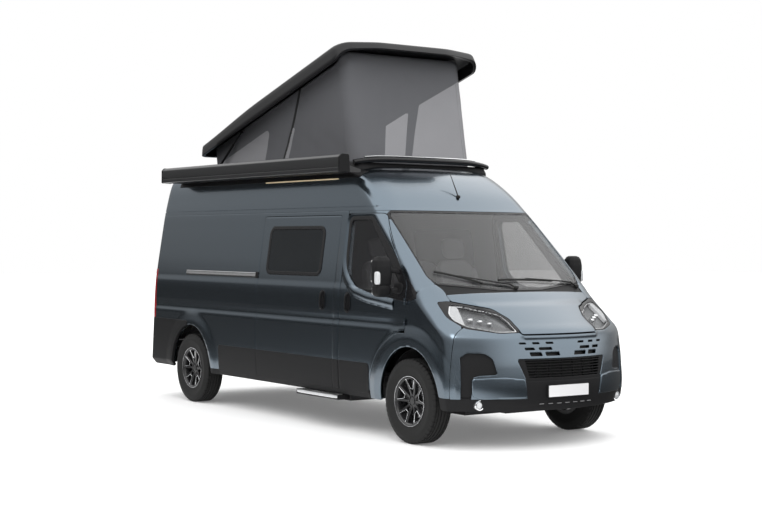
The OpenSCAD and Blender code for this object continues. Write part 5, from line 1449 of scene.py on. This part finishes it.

# %% [markdown]
# The sliding door hangs on a rail in the rear wall: a steel channel and a bright lip over a dark strip, which
# is painted shade in the gap round the channel. A grip is a dished oval with an upright pull across it, and a
# raised bead runs round each cab window.

# %% sliding rail, door grips and window bead
RAIL_ENDS = slab(0, -2.167, -0.612)
# The dark strip under and over the channel is painted shade of the rail's gap.
for name, low, high, lift, finish in (("rail_gap_shade", 1.389, 1.441, 0.001, RUBBER),
                                      ("rail_channel", 1.403, 1.428, 0.003, STEEL),
                                      ("rail_lip", 1.427, 1.438, 0.006, MIRROR)):
    panel(name, on_side(-1), steps(-2.2, -0.6, 0.03), steps(1.38, 1.45, 0.005),
          both(RAIL_ENDS, slab(2, low, high)), "van", finish, thick=0.003, lift=lift, roll=0.002)
panel("rail_cap", on_side(-1), steps(-0.66, -0.58, 0.01), steps(1.37, 1.46, 0.01),
      both(slab(0, -0.645, -0.6), slab(2, 1.386, 1.444)), "van", BLACK, thick=0.004, lift=0.008, roll=0.004)


def grip(name, s, x, z, body):
    """A dished oval with an upright pull in front of it."""
    wide, tall, corner = 0.042, 0.095, 0.04
    oval = side_view([[x - wide, z - tall, corner], [x - wide, z + tall, corner],
                      [x + wide, z + tall, corner], [x + wide, z - tall, corner]])
    panel(name + "_dish", on_side(s), steps(x - 0.06, x + 0.06, 0.008), steps(z - 0.11, z + 0.11, 0.008),
          oval, body, GLOSS, thick=0.004, lift=0.002, roll=0.002)
    t = np.linspace(-1, 1, 15)
    path = flank(x + 0.006 + 0*t, z + 0.082*t, s) + np.outer(0.004 + 0.022*np.sqrt(1 - t**4), [0, s, 0])
    build(name + "_pull", *sweep(path, (0.013, 0.008), 12), body, BLACK)


def bead(x, z, s):
    """The side, raised towards the edge of the window's surround."""
    p = flank(x, z, s)
    d = SURROUND(p)
    return p + (0.0005 + 0.012*ramp((0.10 - d)/0.055)*ramp(d/0.036))[..., None]*np.array([0, s, 0])


grip("grip_slide", -1, 0.640, 1.205, "van")
for s, hand in SIDES:
    grip("grip_" + hand, s, 1.068, 1.198, "cab_door_" + hand)
    panel("window_bead_" + hand, lambda x, z, s=s: bead(x, z, s), steps(0.92, 1.85, 0.013),
          steps(1.12, 2.03, 0.013),
          both(band(SURROUND, 0.001, 0.098), grown(CAB_DOOR, -0.008), slab(0, 0.9, 1.80)),
          "cab_door_" + hand, PAINT, thick=0.004, roll=0.001)

# %% [markdown]
# A mirror's housing is a stack of rounded squares: a large upper part and a lower lobe, parted by a
# shallow waist. Two arms reach back to a foot on the door.

# %% mirrors
# Rows of the housing: height, inner and outer side, back and front.
HEAD = np.array([[1.273, 1.085, 1.150, 1.775, 1.825], [1.280, 1.063, 1.180, 1.758, 1.845],
                 [1.300, 1.050, 1.198, 1.748, 1.858], [1.345, 1.045, 1.205, 1.745, 1.864],
                 [1.368, 1.050, 1.202, 1.746, 1.861], [1.376, 1.056, 1.196, 1.748, 1.857],
                 [1.384, 1.048, 1.204, 1.745, 1.864], [1.450, 1.042, 1.212, 1.742, 1.870],
                 [1.540, 1.045, 1.210, 1.743, 1.868], [1.595, 1.055, 1.202, 1.747, 1.860],
                 [1.622, 1.072, 1.185, 1.757, 1.846], [1.632, 1.095, 1.160, 1.772, 1.828]])
HEAD_ROWS, HEAD_RING = 60, 48
t = np.linspace(0, 2*np.pi, HEAD_RING, endpoint=False)
ring = np.stack([np.cos(t), np.sin(t)], -1)
ring /= (np.abs(ring)**4).sum(-1, keepdims=True)**0.25
rows = np.linspace(0, 1, HEAD_ROWS)
z, inner, outer, back, front = (np.interp(rows, np.linspace(0, 1, len(HEAD)), HEAD[:, k]) for k in range(5))
head = np.stack([(back + front)[:, None]/2 + ring[:, 0]*(front - back)[:, None]/2,
                 (inner + outer)[:, None]/2 + ring[:, 1]*(outer - inner)[:, None]/2,
                 np.broadcast_to(z[:, None], (HEAD_ROWS, HEAD_RING))], -1).reshape(-1, 3)
end = np.arange(HEAD_RING)[None]
housing = (head, [grid_faces(HEAD_ROWS, HEAD_RING, False, True)[:, ::-1], end[:, ::-1],
                  (HEAD_ROWS - 1)*HEAD_RING + end])
arm_high = sweep([[1.80, 1.06, 1.500], [1.818, 1.02, 1.503], [1.832, 0.985, 1.500], [1.838, 0.962, 1.490]],
                 (0.016, 0.021), 12)
arm_low = sweep([[1.80, 1.06, 1.330], [1.825, 1.02, 1.330], [1.85, 0.99, 1.335], [1.862, 0.970, 1.340]],
                (0.018, 0.024), 12)
foot = pillow([1.79, 0.958, 1.29], [1.93, 0.995, 1.40], 3.5, 20)
glass = together(plate(outline([[1.060, 1.395, 0.03], [1.060, 1.605, 0.03], [1.195, 1.605, 0.03],
                                [1.195, 1.395, 0.03]]), 0, 1.739, 1.746),
                 plate(outline([[1.068, 1.29, 0.025], [1.068, 1.36, 0.02], [1.188, 1.36, 0.02],
                                [1.188, 1.29, 0.025]]), 0, 1.742, 1.75))
blinker = pillow([1.815, 1.178, 1.385], [1.868, 1.2155, 1.500], 5, 14)


def on_hand(piece, s):
    """A piece drawn for the left side, or its image for the right."""
    co, faces = piece
    return (co, faces) if s > 0 else (co*[1, -1, 1], [f[:, ::-1] for f in faces])


for s, hand in SIDES:
    body = "cab_door_" + hand
    build("mirror_head_" + hand, *on_hand(together(housing, arm_high, arm_low, foot), s), body, BLACK,
          node="mirror_" + hand, slot="black_plastic")
    build("mirror_glass_" + hand, *on_hand(glass, s), body, MIRROR)
    build("mirror_blinker_" + hand, *on_hand(blinker, s), body, LIGHT_BAR)
print("mirrors reach", head[:, 1].max().round(3), "m from the middle")


# %% [markdown]
# Door hinges show as knuckles: short pins, the lower one of a pair on the door and the upper one on the
# body. The step gets a nosing and ribs.

# %% hinges and step
KNUCKLE_R, KNUCKLE_TALL = 0.0085, 0.0285


def knuckle(x, y, z):
    """A short upright pin that stands on height z."""
    return lathe([[0, z], [KNUCKLE_R, z], [KNUCKLE_R, z + KNUCKLE_TALL], [0, z + KNUCKLE_TALL]], 20, 2,
                 (x, y, 0), False)


for s, hand in SIDES:
    cab = [knuckle(1.990, s*1.013, z) for z in (1.0305, 1.2105)]
    rear = [knuckle(-2.957, s*0.8715, z) for z in (0.7605, 1.3905)]
    build("cab_hinges_" + hand, *together(*cab), "cab_door_" + hand, PAINT)
    build("rear_hinges_" + hand, *together(*rear), "rear_door_" + hand, PAINT)
FIXED = ((1.990, 1.013, 1.061), (1.990, 1.013, 1.241), (-2.957, 0.8715, 0.791), (-2.957, 0.8715, 1.421))
fixed = [knuckle(x, s*y, z) for s in (-1, 1) for x, y, z in FIXED]
build("hinge_halves", *together(*fixed), "van", PAINT)
nosing = together(pillow([0.245, -1.030, 0.300], [0.955, -1.022, 0.331], 8, 14),
                  *[pillow([0.26, y - 0.006, 0.330], [0.94, y + 0.006, 0.3365], 6, 10)
                    for y in np.linspace(-1.0, -0.76, 7)])
build("step_nosing", *nosing, "step", ALU)
print("side trim ready")

# %% [markdown]
# ## Seats and beds
# Foam under fabric: each pad is a swollen box, leaned back by shearing where it is a seat's back.

# %% cab seats
def leaned(piece, z0=0.95, slope=-0.21):
    """A piece leaning back: x moves with the height above z0."""
    co, faces = piece
    return co + np.outer(co[:, 2] - z0, [slope, 0, 0]), faces


def pad(name, piece, finish=None, node=None, slot=None):
    """A padded piece on the van."""
    obj = build(name, *piece, "van", finish or FABRIC, node=node, slot=slot)
    return obj


for s, hand in SIDES:
    x, y = 1.130, s*0.445
    low = together(pillow([x - 0.255, y - 0.235, 0.80], [x + 0.268, y + 0.235, 0.962], 5),
                   pillow([x - 0.20, y - 0.24, 0.86], [x + 0.25, y - 0.17, 0.985], 3),
                   pillow([x - 0.20, y + 0.17, 0.86], [x + 0.25, y + 0.24, 0.985], 3))
    back = together(pillow([x - 0.240, y - 0.225, 0.93], [x - 0.140, y + 0.225, 1.58], 4.5),
                    pillow([x - 0.225, y - 0.24, 1.00], [x - 0.100, y - 0.16, 1.50], 3.2),
                    pillow([x - 0.225, y + 0.16, 1.00], [x - 0.100, y + 0.24, 1.50], 3.2))
    rest = pillow([x - 0.215, y - 0.13, 1.595], [x - 0.135, y + 0.13, 1.795], 3.5, 22)
    pad("seat_low_" + hand, low, node="cab_seats" if s < 0 else None, slot="seat_fabric")
    pad("seat_back_" + hand, leaned(back))
    pad("headrest_" + hand, leaned(rest))
    stem = [sweep([[x - 0.31, y + d, 1.50], [x - 0.335, y + d, 1.66]], 0.006, 10) for d in (-0.06, 0.06)]
    base = pillow([x - 0.19, y - 0.19, 0.546], [x + 0.19, y + 0.19, 0.806], 12, 16)
    build("seat_base_" + hand, *together(base, *stem), "van", BLACK)
print("cab seats at", x, "m and", abs(y), "m to each side")

# %% [markdown]
# The bench and the bed are plain cushions that lie on the furniture.

# %% bench and bed
bench = [-0.10, 0.33, 0.9004]
pad("bench_pad", pillow(np.add(bench, [0.108, 0.01, 0]), np.add(bench, [0.53, 0.55, 0.11]), 5), CUSHION,
    node="cushions", slot="seat_fabric")
pad("bench_back", pillow(np.add(bench, [0.005, 0.01, 0.002]), np.add(bench, [0.10, 0.55, 0.66]), 5), CUSHION)
pad("mattress", pillow([-2.83, -0.92, 1.0004], [-1.445, 0.92, 1.13], 9, 30), CUSHION)
print("bench and bed ready")

# %% [markdown]
# A cab door's inner side gets an armrest and a pocket below it.

# %% door fittings
for s, hand in SIDES:
    rest = pillow([1.10, 0.885, 0.985], [1.62, 0.962, 1.045], 4, 18)
    pocket = pillow([1.02, 0.900, 0.60], [1.42, 0.965, 0.80], 5, 18)
    build("door_fittings_" + hand, *on_hand(together(rest, pocket), s), "cab_door_" + hand, DARK_LINING)
print("inside ready")

# %% [markdown]
# ## Studio and camera
# A pale floor, a bright ceiling and one soft box. The camera sees a plain floor and a white room from
# every side. What the paint and the glass mirror is another matter: in a car studio the lower side of a
# van mirrors something dark, so for all rays but the camera's own the room and the floor are darker low
# down at two sides. Light Path tells the rays apart.

# %% shading by place
def fade(tree, source, direction, low, high):
    """A soft step, from 0 at low to 1 at high, of the place along a direction."""
    along, step = tree.nodes.new("ShaderNodeVectorMath"), tree.nodes.new("ShaderNodeMapRange")
    along.operation, step.interpolation_type = "DOT_PRODUCT", "SMOOTHSTEP"
    along.inputs[1].default_value = direction
    step.inputs["From Min"].default_value, step.inputs["From Max"].default_value = low, high
    wire(tree, (tree.nodes.new("ShaderNodeTexCoord").outputs[source], along.inputs[0]),
         (along.outputs["Value"], step.inputs["Value"]))
    return step.outputs["Result"]


def blend_by(tree, factor, first, second):
    """Two colours mixed by a factor. Each is a socket or a grey."""
    mix = mix_node(tree)
    wire(tree, (factor, mix.inputs[0]))
    for k, c in ((6, first), (7, second)):
        if isinstance(c, float):
            mix.inputs[k].default_value = (c, c, c, 1)
        else:
            wire(tree, (c, mix.inputs[k]))
    return mix.outputs[2]


def where(tree, side, spread, height, limits):
    """A share of the room: towards one side, times above or below a height."""
    part = tree.nodes.new("ShaderNodeMath")
    part.operation = "MULTIPLY"
    wire(tree, (fade(tree, "Generated", side, *spread), part.inputs[0]),
         (fade(tree, "Generated", height, *limits), part.inputs[1]))
    return part.outputs[0]


print("shading tools ready")

# %% stage
CAMERA = np.array([12.372, -8.528, 1.755])
PALE, DARK, SOFT = 0.85, 0.03, 1.2
LEFT_EDGE, RIGHT_EDGE = np.array([-0.334, -0.943, 0.0]), np.array([0.760, 0.649, 0.0])
# The floor glows faintly in its own tone (Emission Strength 0.17): painted light that lightens the van's
# shadow on the floor and adds a little light from below.
FLOOR = material("studio_floor", (PALE, PALE, PALE), 0.7, Specular_IOR_Level=0.1, Emission_Strength=0.17)
tree = FLOOR.node_tree
tone = PALE
for edge, start in ((LEFT_EDGE, -0.4), (RIGHT_EDGE, -1.8)):
    low = CAMERA @ edge + start
    tone = blend_by(tree, fade(tree, "Object", edge, low, low + SOFT), tone, DARK)
tone = blend_by(tree, tree.nodes.new("ShaderNodeLightPath").outputs["Is Camera Ray"], tone, PALE)
for label in ("Base Color", "Emission Color"):
    wire(tree, (tone, tree.nodes["Principled BSDF"].inputs[label]))
floor = build("studio_floor", np.array([[-60, -60, 0], [60, -60, 0], [60, 60, 0], [-60, 60, 0]], float),
              [np.array([[0, 1, 2, 3]])], None, FLOOR)
print("floor of", floor.dimensions.x, "m")

# %% [markdown]
# The room is the world's colour by direction. Each blend adds one part: the ceiling, the bright wall
# ahead, the dark strip beside. Strengths about one let a colour render much as it is written.

# %% room
scene = bpy.context.scene
scene.world = bpy.data.worlds.new("studio")
scene.world.use_nodes = True
room = scene.world.node_tree
BESIDE, AHEAD, UP, DOWN = (-0.819, -0.574, 0.0), (0.819, 0.574, 0.0), (0, 0, 1), (0, 0, -1)
sky = blend_by(room, fade(room, "Generated", UP, 0.08, 0.32), 0.42, 0.67)
sky = blend_by(room, where(room, AHEAD, (0.45, 0.85), UP, (0.02, 0.10)), sky, 1.75)
sky = blend_by(room, fade(room, "Generated", UP, 0.33, 0.62), sky, 1.9)
sky = blend_by(room, where(room, BESIDE, (0.72, 0.92), DOWN, (-0.125, -0.06)), sky, 0.055)
sky = blend_by(room, room.nodes.new("ShaderNodeLightPath").outputs["Is Camera Ray"], sky, 1.0)
wire(room, (sky, room.nodes["Background"].inputs["Color"]))
room.nodes["Background"].inputs["Strength"].default_value = 1.0
print("room:", len(room.nodes), "nodes")


# %% [markdown]
# One soft box above the right front corner gives the shadow its direction.

# %% lamp
def lamp(name, place, aim, size, power):
    """An area lamp at a place, turned to a point."""
    light = bpy.data.lights.new(name, "AREA")
    light.shape, light.size, light.size_y, light.energy = "RECTANGLE", size[0], size[1], power
    obj = bpy.data.objects.new(name, light)
    z = np.array(place, float) - np.array(aim, float)
    z /= np.linalg.norm(z)
    x = np.cross([0, 1, 0.01], z)
    x /= np.linalg.norm(x)
    turn = np.eye(4)
    turn[:3, 0], turn[:3, 1], turn[:3, 2], turn[:3, 3] = x, np.cross(z, x), z, place
    obj.matrix_world = Matrix(turn)
    scene.collection.objects.link(obj)


lamp("soft_box", (7.5, -7.5, 7.0), (2, 0, 1.2), (3.5, 3.5), 175)
print("lamps:", len(bpy.data.lights))

# %% [markdown]
# The camera was solved from the wheels in the photo: its place, its heading, a slight tilt down and a
# slight roll, and the focal length on a 36 mm sensor.

# %% camera
heading, tilt, roll = 2.5310, -0.008, 0.005
forward = np.array([np.cos(tilt)*np.cos(heading), np.cos(tilt)*np.sin(heading), np.sin(tilt)])
right = np.cross(forward, [0, 0, 1])
right /= np.linalg.norm(right)
above = np.cross(right, forward)
pose = np.eye(4)
pose[:3, 0] = right*np.cos(roll) + above*np.sin(roll)
pose[:3, 1] = above*np.cos(roll) - right*np.sin(roll)
pose[:3, 2] = -forward
pose[:3, 3] = CAMERA
camera = bpy.data.objects.new("camera", bpy.data.cameras.new("camera"))
camera.data.lens, camera.data.sensor_width = 69.45, 36
camera.matrix_world = Matrix(pose)
scene.collection.objects.link(camera)
scene.camera = camera
scene.view_settings.view_transform = "Standard"
print("camera at", np.round(CAMERA, 2))
